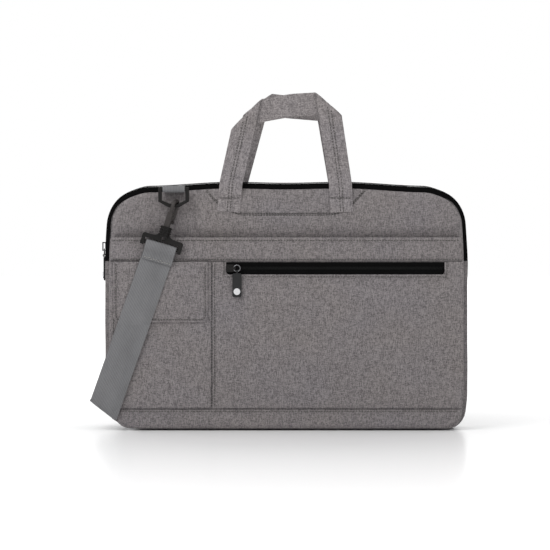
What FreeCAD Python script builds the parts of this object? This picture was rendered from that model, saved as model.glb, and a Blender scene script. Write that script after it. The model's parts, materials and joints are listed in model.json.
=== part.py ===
# Soft laptop briefcase with a clip-on shoulder strap, in millimetres.
# +Z is up, -Y is the front and the origin is the middle of the base on the floor.
# Y runs through the layers: front pockets, front panel, compartment, rear panel.
# The rear panel is cut at the zip's ends, and its upper half folds back to open the case.

import FreeCAD
import Part
import math
import os
import Sketcher

Vector = FreeCAD.Vector
Rotation = FreeCAD.Rotation
Placement = FreeCAD.Placement

SIZES = {
    # the bag's outline
    "bag_width": 408, "bag_height": 278, "compartment_depth": 46, "top_radius": 47,
    "base_radius": 20, "strap_corner_radius": 48, "zip_end_drop": 88,
    # walls
    "gusset_wall": 2.4, "zip_wall": 1.5, "lining_wall": 1, "shell_wall": 1, "panel_rim": 1.5,
    "foam_thickness": 4, "face_inset": 5.5, "face_low": 2,
    # main zip
    "zip_gap": 0.4, "coil_half_width": 2.2, "coil_height": 2.4,
    # inside
    "divider_thickness": 4, "divider_front": -5, "divider_height": 200, "divider_gap": 6,
    "board_thickness": 2.4, "board_margin": 24,
    # front pockets
    "pocket_gap": 4.6, "pocket_lining_wall": 0.8, "pocket_wall": 1.4, "pocket_edge_width": 3,
    "band_height": 26.7, "base_band_height": 24.6, "pocket_seam_left": -83.7, "seam_web_width": 2,
    "flap_side_gap": 4.2, "flap_seam_gap": 4.2, "flap_drop": 68.6, "flap_wall": 1.6, "flap_radius": 7,
    "flap_clearance": 0.4, "flap_mouth_height": 12, "fine_gap": 0.2,
    "pocket_zip_seam_gap": 16.2, "pocket_zip_side_gap": 21.5, "pocket_zip_drop": 0.7,
    "pocket_tape_width": 5.4, "pocket_coil_width": 3.2, "pocket_tape_wall": 0.8, "pocket_coil_height": 1.6,
    # handles
    "handle_width": 25.5, "handle_wall": 3, "handle_base_drop": 17, "handle_base_spread": 63.5,
    "grip_spread": 44.5, "grip_rise": 102, "grip_width": 29, "handle_bend_rise": 0,
    "handle_lean": 4, "handle_tab_height": 15.5, "handle_tab_wall": 1.8, "handle_corner_cut": 22,
    # strap loops and rings
    "ring_offset": 126.3, "ring_width": 34.6, "ring_drop": 5, "ring_side": 16, "ring_length": 22.7,
    "ring_foot_width": 11, "ring_section": 4.2, "ring_stand_off": 11.4, "rear_ring_stand_off": 9.4,
    "web_loop_side_gap": 0.7,
    "web_loop_height": 8, "web_loop_play": 1.2, "web_loop_wall": 1.6,
    # swivel clips
    "clip_tilt": 16.5, "rear_clip_tilt": 55.3, "clip_stand_off": 17.5, "rear_clip_stand_off": 15.5,
    "hook_aside": 0.4287, "hook_lift": 0.8121, "hook_turn": 20,
    "catch_gap": 1, "pull_ring_play": 0.9,
    "barrel_radius": 6, "barrel_top": 8.4, "bracket_top": -4.2, "bracket_bar": 5, "bracket_low": -17.7,
    "strap_side_gap": 2, "bracket_ear": 4, "bracket_depth": 6, "strap_bar_radius": 2, "strap_bar_drop": 14,
    "shoulder_rise": 3.5, "shoulder_width": 10.5, "bracket_round": 2.6, "head_recess": 2.4,
    "stem_radius": 2.5, "stem_clearance": 0.06, "stem_head_radius": 3.4, "stem_head_height": 2.4,
    "shaft_radius": 3.75, "shaft_top": 25, "hook_wire_radius": 2.1, "hook_depth": 13, "hook_rise": 41,
    "hook_arm_height": 14.6, "gate_radius": 1.9, "gate_low": 17.4, "gate_gap": 0.6,
    # strap
    "strap_width": 35, "strap_wall": 1.4, "strap_bar_gap": 0.2, "strap_leg": 4, "strap_tail": 19,
    "fold_gap": 2.2,
    "fold_height": 23, "fold_angle": 37.5, "strap_split_height": 119, "fold_radius": 3,
    "adjuster_place": 215, "adjuster_play": 0.4, "adjuster_length": 24, "adjuster_wall": 3,
    "adjuster_bar": 3.6,
    # sliders and pulls
    "slider_length": 10, "slider_width": 8.4, "slider_plate": 1, "bridge_height": 3.4, "bridge_width": 2.6,
    "pocket_bridge_height": 5,
    "bridge_leg": 1.2, "pull_ring_radius": 3.6, "pull_wire_radius": 0.6, "tab_length": 26.4,
    "tab_width": 10.2, "tab_wall": 1.6, "knuckle_radius": 1.9, "knuckle_width": 2.4, "knuckle_bore": 1.0,
    "knuckle_neck": 2.4,
    "rivet_radius": 3.7, "rivet_height": 0.9, "rivet_place": 20.4,
    "main_slider_rise": 16, "pocket_slider_gap": 5.5,
}

doc = FreeCAD.newDocument("LaptopBriefcase")
sheet = doc.addObject("Spreadsheet::Sheet", "Sizes")
for row, (word, number) in enumerate(SIZES.items(), 1):
    sheet.set(f"A{row}", word)
    sheet.set(f"B{row}", str(number))
    sheet.setAlias(f"B{row}", word)
doc.recompute()

parts = []


def value(expression):
    """Number that an expression over the sheet gives."""
    return float(sheet.evalExpression(expression))


def size(word):
    """Number in one cell of the sheet."""
    return value("Sizes." + word)


def keep(item, label):
    """List an object as one of the sub-parts, under the name of its file."""
    item.Label = label
    parts.append(item)
    return item


# ---- flat pieces: PartDesign bodies drawn in the XZ plane and padded through Y ----

HALF = "Sizes.bag_width / 2"
PANEL_HALF = "(Sizes.bag_width / 2 - Sizes.face_inset)"
PANEL_TOP = "(Sizes.bag_height - Sizes.face_inset)"
MOUTH_FRONT = "-Sizes.compartment_depth / 2"
MOUTH_BACK = "Sizes.compartment_depth / 2"
LINING_FRONT = f"({MOUTH_FRONT} - Sizes.lining_wall)"
FACE_FRONT = f"({LINING_FRONT} - Sizes.foam_thickness - Sizes.shell_wall)"
FACE_BACK = f"(-{FACE_FRONT})"
POCKET_LINING = f"({FACE_FRONT} - Sizes.pocket_gap)"
POCKET_INSIDE = f"({POCKET_LINING} - Sizes.pocket_lining_wall - Sizes.pocket_gap)"
POCKET_FACE = f"({POCKET_INSIDE} - Sizes.pocket_wall)"
FLAP_BACK = f"({POCKET_FACE} - Sizes.flap_clearance)"
BAND_LOW = "(Sizes.bag_height - Sizes.zip_end_drop)"
BAND_TOP = f"({BAND_LOW} + Sizes.band_height)"
FLAP_LEFT = f"(-{PANEL_HALF} + Sizes.flap_side_gap)"
FLAP_RIGHT = "(Sizes.pocket_seam_left - Sizes.flap_seam_gap)"
POCKET_ZIP_LEFT = "(Sizes.pocket_seam_left + Sizes.pocket_zip_seam_gap)"
POCKET_ZIP_RIGHT = f"({PANEL_HALF} - Sizes.pocket_zip_side_gap)"
POCKET_ZIP_TOP = f"({BAND_LOW} - Sizes.pocket_zip_drop)"
HANDLE_BASE = "(Sizes.bag_height - Sizes.handle_base_drop)"
RING_TOP = "(Sizes.bag_height - Sizes.ring_drop)"
PANEL_TOP_RADIUS = "Sizes.top_radius - Sizes.face_inset"
PANEL_BASE_RADIUS = "Sizes.base_radius - Sizes.face_inset"
PANEL_STRAP_RADIUS = "Sizes.strap_corner_radius - Sizes.face_inset"


def rectangle(body, left, right, low, high, depth):
    """Sketch of a rectangle in the XZ plane, moved to the given Y, with its four sides bound."""
    plane = [item for item in body.Origin.OriginFeatures if item.Role == "XZ_Plane"][0]
    sketch = body.newObject("Sketcher::SketchObject", "Outline")
    sketch.AttachmentSupport = (plane, "")
    sketch.MapMode = "FlatFace"
    sketch.setExpression("AttachmentOffset.Base.z", f"-({depth})")
    corners = [Vector(-1, -1, 0), Vector(1, -1, 0), Vector(1, 1, 0), Vector(-1, 1, 0)]
    sides = [Part.LineSegment(corners[i], corners[(i + 1) % 4]) for i in range(4)]
    sketch.addGeometry(sides, False)
    rules = [Sketcher.Constraint("Coincident", i, 2, (i + 1) % 4, 1) for i in range(4)]
    rules += [Sketcher.Constraint("Horizontal", i) for i in (0, 2)]
    rules += [Sketcher.Constraint("Vertical", i) for i in (1, 3)]
    sketch.addConstraint(rules)
    bounds = (("low", "DistanceY", 0, low, -1), ("left", "DistanceX", 3, left, -1),
              ("high", "DistanceY", 2, high, 1), ("right", "DistanceX", 1, right, 1))
    for name, kind, side, expression, start in bounds:
        index = sketch.addConstraint(Sketcher.Constraint(kind, -1, 1, side, 1, float(start)))
        sketch.renameConstraint(index, name)
        sketch.setExpression(f"Constraints.{name}", expression)
    doc.recompute()
    return sketch


def corner_edges(feature, x_at, z_at):
    """Names of the edges that run along Y through the corner (x_at, z_at)."""
    names = []
    for index, edge in enumerate(feature.Shape.Edges, 1):
        box = edge.BoundBox
        flat = box.XLength < 1e-4 and box.ZLength < 1e-4
        if flat and abs(box.XMin - value(x_at)) < 1e-3 and abs(box.ZMin - value(z_at)) < 1e-3:
            names.append(f"Edge{index}")
    return names


def round_corner(body, feature, x_at, z_at, radius):
    fillet = body.newObject("PartDesign::Fillet", "Round")
    fillet.Base = (feature, corner_edges(feature, x_at, z_at))
    fillet.setExpression("Radius", radius)
    body.Tip = fillet
    doc.recompute()
    return fillet


def recess(body, across, up, through, corners):
    """Cut a rectangle with rounded corners, from its front Y towards its back Y."""
    front, back = through
    before = body.Shape.Volume
    outline = rectangle(body, *across, *up, front)
    pocket = body.newObject("PartDesign::Pocket", "Recess")
    pocket.Profile = outline
    pocket.setExpression("Length", f"({back}) - ({front})")
    body.Tip = pocket
    doc.recompute()
    if body.Shape.Volume >= before:
        raise RuntimeError(f"{body.Label}: its recess cuts nothing")
    last = pocket
    for x_at, z_at, radius in corners:
        last = round_corner(body, last, x_at, z_at, radius)
    return last


def plate(label, across, up, through, corners=(), hollow=None):
    """Flat plate between two X, two Z and two Y values, with some corners rounded and one recess."""
    front, back = through
    body = doc.addObject("PartDesign::Body", label)
    outline = rectangle(body, *across, *up, back)
    last = body.newObject("PartDesign::Pad", "Plate")
    last.Profile = outline
    last.setExpression("Length", f"({back}) - ({front})")
    doc.recompute()
    if hollow:
        last = recess(body, *hollow)
    for x_at, z_at, radius in corners:
        last = round_corner(body, last, x_at, z_at, radius)
    return keep(body, label)


def mirrored(expression):
    return f"-({expression})"


def top_corners(half, top, radius):
    return ((mirrored(half), top, radius), (half, top, radius))


def base_corners(half, low, strap_radius, base_radius):
    return ((mirrored(half), low, strap_radius), (half, low, base_radius))


def inner(radius, wall):
    return f"({radius}) - {wall}"


def gusset():
    """Fabric wall round the base and up both sides to the ends of the main zip."""
    wall = "Sizes.gusset_wall"
    inside = f"({HALF} - {wall})"
    through = (MOUTH_FRONT, MOUTH_BACK)
    space = ((mirrored(inside), inside), (wall, f"{BAND_LOW} + 1"), through,
             base_corners(inside, wall, inner("Sizes.strap_corner_radius", wall),
                          inner("Sizes.base_radius", wall)))
    plate("gusset_lower", (mirrored(HALF), HALF), ("0", BAND_LOW), through,
          base_corners(HALF, "0", "Sizes.strap_corner_radius", "Sizes.base_radius"), space)


def arch(label, height, wall, through):
    """Band of the upper gusset: down one side, over the top and down the other."""
    outer = f"({HALF} - {height})"
    top = f"(Sizes.bag_height - {height})"
    inside = f"({outer} - {wall})"
    ceiling = f"({top} - {wall})"
    radius = f"(Sizes.top_radius - {height})"
    space = ((mirrored(inside), inside), (f"{BAND_LOW} - 1", ceiling), through,
             top_corners(inside, ceiling, inner(radius, wall)))
    plate(label, (mirrored(outer), outer), (BAND_LOW, top), through, top_corners(outer, top, radius), space)


def main_zip():
    """Two tapes with half a coil along the middle edge of each."""
    gap = "Sizes.zip_gap"
    edge = "(Sizes.zip_gap + Sizes.coil_half_width)"
    arch("front_zip_tape", "0", "Sizes.zip_wall", (MOUTH_FRONT, f"-{edge}"))
    arch("rear_zip_tape", "0", "Sizes.zip_wall", (edge, MOUTH_BACK))
    arch("front_zip_coil", "0", "Sizes.coil_height", (f"-{edge}", f"-{gap}"))
    arch("rear_zip_coil", "0", "Sizes.coil_height", (gap, edge))


def lining(label, up, through, corners):
    plate(label, (mirrored(HALF), HALF), up, through, corners)


def cushion(name, up, side, corners, space_up, space_corners):
    """Shell with turned edges and the foam that fills it, on the front or the rear."""
    rim = "Sizes.panel_rim"
    half = f"({PANEL_HALF} - {rim})"
    seam = f"({MOUTH_BACK} + Sizes.lining_wall)"
    pad_face = f"({FACE_BACK} - Sizes.shell_wall)"
    outside = (seam, FACE_BACK) if side > 0 else (FACE_FRONT, LINING_FRONT)
    through = (seam, pad_face) if side > 0 else (f"(-{pad_face})", LINING_FRONT)
    space = ((mirrored(half), half), space_up, through, space_corners)
    plate("shell_" + name, (mirrored(PANEL_HALF), PANEL_HALF), up, outside, corners, space)
    plate("foam_" + name, *space)


def panels():
    rim = "Sizes.panel_rim"
    low = "Sizes.face_low"
    half = f"({PANEL_HALF} - {rim})"
    ceiling = f"({PANEL_TOP} - {rim})"
    floor = f"({low} + {rim})"
    tops = top_corners(PANEL_HALF, PANEL_TOP, PANEL_TOP_RADIUS)
    bases = base_corners(PANEL_HALF, low, PANEL_STRAP_RADIUS, PANEL_BASE_RADIUS)
    inner_tops = top_corners(half, ceiling, inner(PANEL_TOP_RADIUS, rim))
    inner_bases = base_corners(half, floor, inner(PANEL_STRAP_RADIUS, rim), inner(PANEL_BASE_RADIUS, rim))
    cushion("front", (low, PANEL_TOP), -1, tops + bases, (floor, ceiling), inner_tops + inner_bases)
    cushion("rear_lower", (low, BAND_LOW), 1, bases, (floor, f"{BAND_LOW} - {rim}"), inner_bases)
    cushion("rear_upper", (BAND_LOW, PANEL_TOP), 1, tops, (f"{BAND_LOW} + {rim}", ceiling), inner_tops)
    rear = (MOUTH_BACK, f"({MOUTH_BACK} + Sizes.lining_wall)")
    outer_tops = top_corners(HALF, "Sizes.bag_height", "Sizes.top_radius")
    outer_bases = base_corners(HALF, "0", "Sizes.strap_corner_radius", "Sizes.base_radius")
    lining("lining_front", ("0", "Sizes.bag_height"), (LINING_FRONT, MOUTH_FRONT), outer_tops + outer_bases)
    lining("lining_rear_lower", ("0", BAND_LOW), rear, outer_bases)
    lining("lining_rear_upper", (BAND_LOW, "Sizes.bag_height"), rear, outer_tops)


def inside():
    """Board under the compartment and the padded wall in front of the laptop."""
    wall = "Sizes.gusset_wall"
    half = f"({HALF} - {wall} - Sizes.divider_gap)"
    board_half = f"({HALF} - {wall} - Sizes.board_margin)"
    board_top = f"({wall} + Sizes.board_thickness)"
    plate("base_board", (f"-{board_half} + Sizes.board_margin", board_half), (wall, board_top),
          (f"{MOUTH_FRONT} + {wall}", f"{MOUTH_BACK} - {wall}"))
    plate("laptop_divider", (mirrored(half), half), (board_top, f"{board_top} + Sizes.divider_height"),
          ("Sizes.divider_front", "Sizes.divider_front + Sizes.divider_thickness"),
          base_corners(half, board_top, "Sizes.strap_corner_radius", "Sizes.base_radius")
          + top_corners(half, f"({board_top} + Sizes.divider_height)", "Sizes.base_radius"))


def pockets():
    """Slip pocket behind, and in front of it a zip pocket and a pocket under a flap."""
    left = mirrored(PANEL_HALF)
    edge = "Sizes.pocket_edge_width"
    inner_half = f"({PANEL_HALF} - {edge})"
    base_top = "Sizes.base_band_height"
    seam = "Sizes.pocket_seam_left"
    lining_front = f"({POCKET_LINING} - Sizes.pocket_lining_wall)"
    base = plate("pocket_base_band", (left, PANEL_HALF), ("Sizes.face_low", base_top),
                 (POCKET_FACE, FACE_FRONT), ((PANEL_HALF, "Sizes.face_low", PANEL_BASE_RADIUS),))
    # the strap passes under this corner, so it is cut off nearly to the top of the band
    rounded = base.Tip
    slope = base.newObject("PartDesign::Chamfer", "StrapCorner")
    slope.Base = (rounded, corner_edges(rounded, left, "Sizes.face_low"))
    slope.setExpression("Size", f"{base_top} - Sizes.face_low - 0.1")
    base.Tip = slope
    plate("pocket_top_band", (left, PANEL_HALF), (BAND_LOW, BAND_TOP), (POCKET_FACE, POCKET_LINING))
    for name, across in (("left", (left, f"{left} + {edge}")), ("right", (inner_half, PANEL_HALF))):
        plate(f"slip_pocket_edge_{name}", across, (base_top, BAND_TOP), (POCKET_LINING, FACE_FRONT))
        plate(f"pocket_edge_{name}", across, (base_top, BAND_LOW), (POCKET_INSIDE, POCKET_LINING))
    plate("pocket_lining", (mirrored(inner_half), inner_half), (base_top, BAND_LOW),
          (lining_front, POCKET_LINING))
    plate("pocket_seam_web", (f"{seam} - Sizes.seam_web_width / 2", f"{seam} + Sizes.seam_web_width / 2"),
          (base_top, BAND_LOW), (POCKET_INSIDE, lining_front))
    plate("flap_pocket_panel", (left, seam), (base_top, f"{BAND_LOW} - Sizes.flap_mouth_height"),
          (POCKET_FACE, POCKET_INSIDE))
    tape = "Sizes.pocket_tape_width"
    coil = "Sizes.pocket_coil_width"
    top = POCKET_ZIP_TOP
    low = f"({top} - 2 * {tape} - {coil})"
    across = (POCKET_ZIP_LEFT, POCKET_ZIP_RIGHT)
    panel = (POCKET_FACE, POCKET_INSIDE)
    plate("zip_pocket_panel", (seam, PANEL_HALF), (base_top, BAND_LOW), panel, (),
          (across, (low, top), panel, ()))
    through = (f"({POCKET_INSIDE} - Sizes.pocket_tape_wall)", POCKET_INSIDE)
    plate("pocket_zip_tape_upper", across, (f"{top} - {tape}", top), through)
    plate("pocket_zip_tape_lower", across, (low, f"{low} + {tape}"), through)
    plate("pocket_zip_coil", across, (f"{low} + {tape}", f"{top} - {tape}"),
          (f"({POCKET_INSIDE} - Sizes.pocket_coil_height)", POCKET_INSIDE))
    flap_low = f"({BAND_LOW} - Sizes.flap_drop)"
    plate("flap", (FLAP_LEFT, FLAP_RIGHT), (flap_low, f"{BAND_LOW} - Sizes.flap_clearance"),
          (f"{FLAP_BACK} - Sizes.flap_wall", FLAP_BACK),
          ((FLAP_LEFT, flap_low, "Sizes.flap_radius"), (FLAP_RIGHT, flap_low, "Sizes.flap_radius")))


def plain_box(name, across, up, through):
    """Part::Box between two X, two Z and two Y expressions."""
    item = doc.addObject("Part::Box", name)
    spans = (("Length", "x", across), ("Width", "y", through), ("Height", "z", up))
    for word, axis, (low, high) in spans:
        item.setExpression(word, f"({high}) - ({low})")
        item.setExpression(f"Placement.Base.{axis}", low)
    return item


def joined(label, items):
    """Several solids of one kind under one name."""
    group = doc.addObject("Part::Compound", label)
    group.Links = items
    return keep(group, label)


def handle_tabs(label, side):
    """Two ends of a handle, sewn flat on the panel."""
    near = FACE_BACK if side > 0 else f"({FACE_FRONT} - Sizes.handle_tab_wall)"
    far = f"({near} + Sizes.handle_tab_wall)"
    boxes = []
    for name, turn in (("Left", -1), ("Right", 1)):
        middle = f"{turn} * Sizes.handle_base_spread"
        across = (f"{middle} - Sizes.handle_width / 2", f"{middle} + Sizes.handle_width / 2")
        up = (f"{HANDLE_BASE} - Sizes.handle_tab_height", f"{HANDLE_BASE} - 2 * Sizes.fine_gap")
        boxes.append(plain_box(f"{label}{name}", across, up, (near, far)))
    joined(label, boxes)


def place(item, position, rotation=Rotation()):
    item.Placement = Placement(position, rotation)
    return item


def shaped(label, shape, position=Vector(), rotation=Rotation()):
    """Part::Feature for a piece whose outline is worked out here."""
    item = doc.addObject("Part::Feature", label)
    item.Shape = shape
    return keep(place(item, position, rotation), label)


def face_of(points):
    return Part.Face(Part.makePolygon(points + [points[0]]))


def handle(label, side):
    """Flat webbing handle: two legs that lean in to a grip, hinged at the foot of the legs."""
    half = size("handle_width") / 2
    foot = size("handle_base_spread")
    bend = size("handle_base_drop") + size("handle_bend_rise")
    top = size("handle_base_drop") + size("grip_rise")
    grip_low = top - size("grip_width")
    spread = size("grip_spread")
    cut = size("handle_corner_cut")
    outer = [(foot + half, 0), (foot + half, bend), (spread + half, top - cut), (spread + half - cut, top)]
    inside = [(foot - half, 0), (foot - half, bend), (spread - half, grip_low)]
    points = [Vector(x, 0, z) for x, z in outer] + [Vector(-x, 0, z) for x, z in reversed(outer)]
    points += [Vector(-x, 0, z) for x, z in inside] + [Vector(x, 0, z) for x, z in reversed(inside)]
    wall = size("handle_wall")
    shape = face_of(points).extrude(Vector(0, wall * side, 0))
    base = side * (value(FACE_BACK) + size("handle_tab_wall") + size("fine_gap"))
    lean = Rotation(Vector(1, 0, 0), side * size("handle_lean"))
    shaped(label, shape, Vector(0, base, value(HANDLE_BASE)), lean)


def ring_bar(side):
    """Y of the top bar of the front or the rear ring."""
    return side * (value(FACE_BACK) + size("rear_ring_stand_off" if side > 0 else "ring_stand_off"))


def web_loop(label, middle, side):
    """Folded webbing that holds the top bar of a ring."""
    bar = ring_bar(side)
    top = value(RING_TOP) + 0.5
    low = top - size("web_loop_height")
    bore = size("ring_section") / 2 + size("web_loop_play")
    reach = bore + size("web_loop_wall")
    near = value(FACE_BACK)
    far = abs(bar) + reach
    height = top - low
    width = size("ring_width") - 2 * (size("ring_section") + size("web_loop_side_gap"))
    block = Part.makeBox(width, far - near, height,
                         Vector(middle - width / 2, near if side > 0 else -far, low))
    hole = Part.makeCylinder(bore, width + 2,
                             Vector(middle - width / 2 - 1, bar,
                                    value(RING_TOP) - size("ring_section") / 2), Vector(1, 0, 0))
    shaped(label, block.cut(hole))


def ring(label, middle, side):
    """Flat six-sided ring that hangs from its top bar."""
    section = size("ring_section")
    half = size("ring_width") / 2
    top = value(RING_TOP)
    shoulder, low = top - size("ring_side"), top - size("ring_length")
    foot = size("ring_foot_width") / 2
    slope = math.atan2(shoulder - low, half - foot)
    shift = section * math.tan(math.pi / 4 - slope / 2)
    inner_half = half - section
    inner_foot = foot - section * math.tan(slope / 2)
    outer = [(half, top), (half, shoulder), (foot, low)]
    inside = [(inner_half, top - section), (inner_half, shoulder + shift * 0.5), (inner_foot, low + section)]

    def outline(points):
        right = [Vector(x, 0, z) for x, z in points]
        left = [Vector(-x, 0, z) for x, z in reversed(points)]
        return face_of(right + left)

    flat = outline(outer).cut(outline(inside))
    shape = flat.extrude(Vector(0, section, 0))
    along = [edge for edge in shape.Edges if edge.BoundBox.YLength < 1e-4]
    shape = shape.makeFillet(section / 4, along)
    shaped(label, shape, Vector(middle, ring_bar(side) - section / 2, 0))


def rod(radius, start, end):
    line = end - start
    return Part.makeCylinder(radius, line.Length, start, line)


def bracket(label, position, rotation):
    """Swivel barrel over a frame with a bar that carries the strap."""
    half = size("strap_width") / 2 + size("strap_side_gap") + size("bracket_ear")
    depth = size("bracket_depth")
    top, low = size("bracket_top"), size("bracket_low")
    ear = size("bracket_ear")
    under = top - size("bracket_bar")
    barrel = Part.makeCylinder(size("barrel_radius"), size("barrel_top") - top, Vector(0, 0, top))
    side = [(half - ear, under), (half - ear, low), (half, low), (half, top),
            (size("shoulder_width"), top), (size("barrel_radius") - 1, top + size("shoulder_rise"))]
    points = [Vector(x, -depth / 2, z) for x, z in side]
    points += [Vector(-x, -depth / 2, z) for x, z in reversed(side)]
    frame = face_of(points).extrude(Vector(0, depth, 0))

    def at_corner(edge):
        box = edge.BoundBox
        return box.YLength > depth / 2 and abs(box.Center.x) > half - 1 and box.Center.z > top - 1

    frame = frame.makeFillet(size("bracket_round"), [edge for edge in frame.Edges if at_corner(edge)])
    shape = barrel.fuse(frame)
    bore = size("stem_radius") + size("stem_clearance")
    stem_hole = size("barrel_top") - low
    shape = shape.cut(Part.makeCylinder(bore, stem_hole, Vector(0, 0, low)))
    head_hole = top + size("head_recess") - low
    head_bore = size("stem_head_radius") + size("fine_gap")
    shape = shape.cut(Part.makeCylinder(head_bore, head_hole, Vector(0, 0, low)))
    drop = -size("strap_bar_drop")
    shape = shape.fuse(rod(size("strap_bar_radius"), Vector(-half + 1, 0, drop), Vector(half - 1, 0, drop)))
    shaped(label, shape.removeSplitter(), position, rotation)


def hook(label, position, rotation):
    """Shaft that turns in the barrel, and a wire bent over and down to the nose."""
    wire = size("hook_wire_radius")
    depth = size("hook_depth")
    bend = depth / 2
    start = size("hook_rise") - wire - bend
    head_top = size("bracket_top") + 2.2
    head = Part.makeCylinder(size("stem_head_radius"), size("stem_head_height"),
                             Vector(0, 0, head_top - size("stem_head_height")))
    stem = Part.makeCylinder(size("stem_radius"), size("barrel_top") + 0.4 - head_top + 0.2,
                             Vector(0, 0, head_top - 0.2))
    shaft = Part.makeCylinder(size("shaft_radius"), size("shaft_top") - size("barrel_top") - 0.3,
                              Vector(0, 0, size("barrel_top") + 0.3))
    arm = rod(wire, Vector(0, 0, size("hook_arm_height")), Vector(0, depth, size("hook_arm_height")))
    heel = Part.makeSphere(wire, Vector(0, depth, size("hook_arm_height")))
    rise = rod(wire, Vector(0, 0, size("shaft_top") - 1), Vector(0, 0, start))
    torus = Part.makeTorus(bend, wire, Vector(0, bend, start), Vector(1, 0, 0))
    upper = Part.makeBox(4 * wire, depth + 4 * wire, bend + 2 * wire, Vector(-2 * wire, -2 * wire, start))
    nose_low = start - 0.4
    nose = rod(wire, Vector(0, depth, start), Vector(0, depth, nose_low))
    shape = head.fuse([stem, shaft, arm, heel, rise, torus.common(upper), nose])
    shaped(label, shape.removeSplitter(), position, rotation)
    return nose_low


def gate(label, position, rotation, nose_low):
    """Straight sprung gate between the heel and the nose."""
    low = size("gate_low")
    pin = Part.makeCylinder(size("gate_radius"), nose_low - size("gate_gap") - low,
                            Vector(0, size("hook_depth"), low))
    shaped(label, pin, position, rotation)


def clip(name, position, turn):
    bracket("swivel_bracket_" + name, position, turn)
    hook_turn = turn.multiply(Rotation(Vector(0, 0, 1), -size("hook_turn")))
    nose_low = hook("snap_hook_" + name, position, hook_turn)
    gate("hook_gate_" + name, position, hook_turn, nose_low)


def clip_axis(tilt):
    return Vector(math.sin(math.radians(tilt)), 0, math.cos(math.radians(tilt)))


FRONT_TURN = Rotation(Vector(0, 1, 0), size("clip_tilt"))
REAR_TURN = Rotation(Vector(0, 1, 0), size("rear_clip_tilt")).multiply(Rotation(Vector(0, 0, 1), 180))


def clip_places():
    """Centres of the two swivel barrels. Each hook holds its ring at the same place in its bend."""
    catch = size("hook_rise") - 2 * size("hook_wire_radius") - size("ring_section") / 2 - size("catch_gap")
    ring_foot = value(RING_TOP) - size("ring_length")
    held = ring_foot + size("ring_section") / 2 + size("hook_lift")
    front = Vector(-size("ring_offset") - size("hook_aside"), 0, held) - clip_axis(size("clip_tilt")) * catch
    front.y = value(FACE_FRONT) - size("clip_stand_off")
    half, foot = size("ring_width") / 2, size("ring_foot_width") / 2
    corner_x = size("ring_offset") - (half + foot) / 2 + 2
    corner_z = value(RING_TOP) - (size("ring_length") + size("ring_side")) / 2 + 2
    rear = Vector(corner_x, 0, corner_z) - clip_axis(size("rear_clip_tilt")) * catch
    rear.y = value(FACE_BACK) + size("rear_clip_stand_off")
    return front, rear


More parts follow.
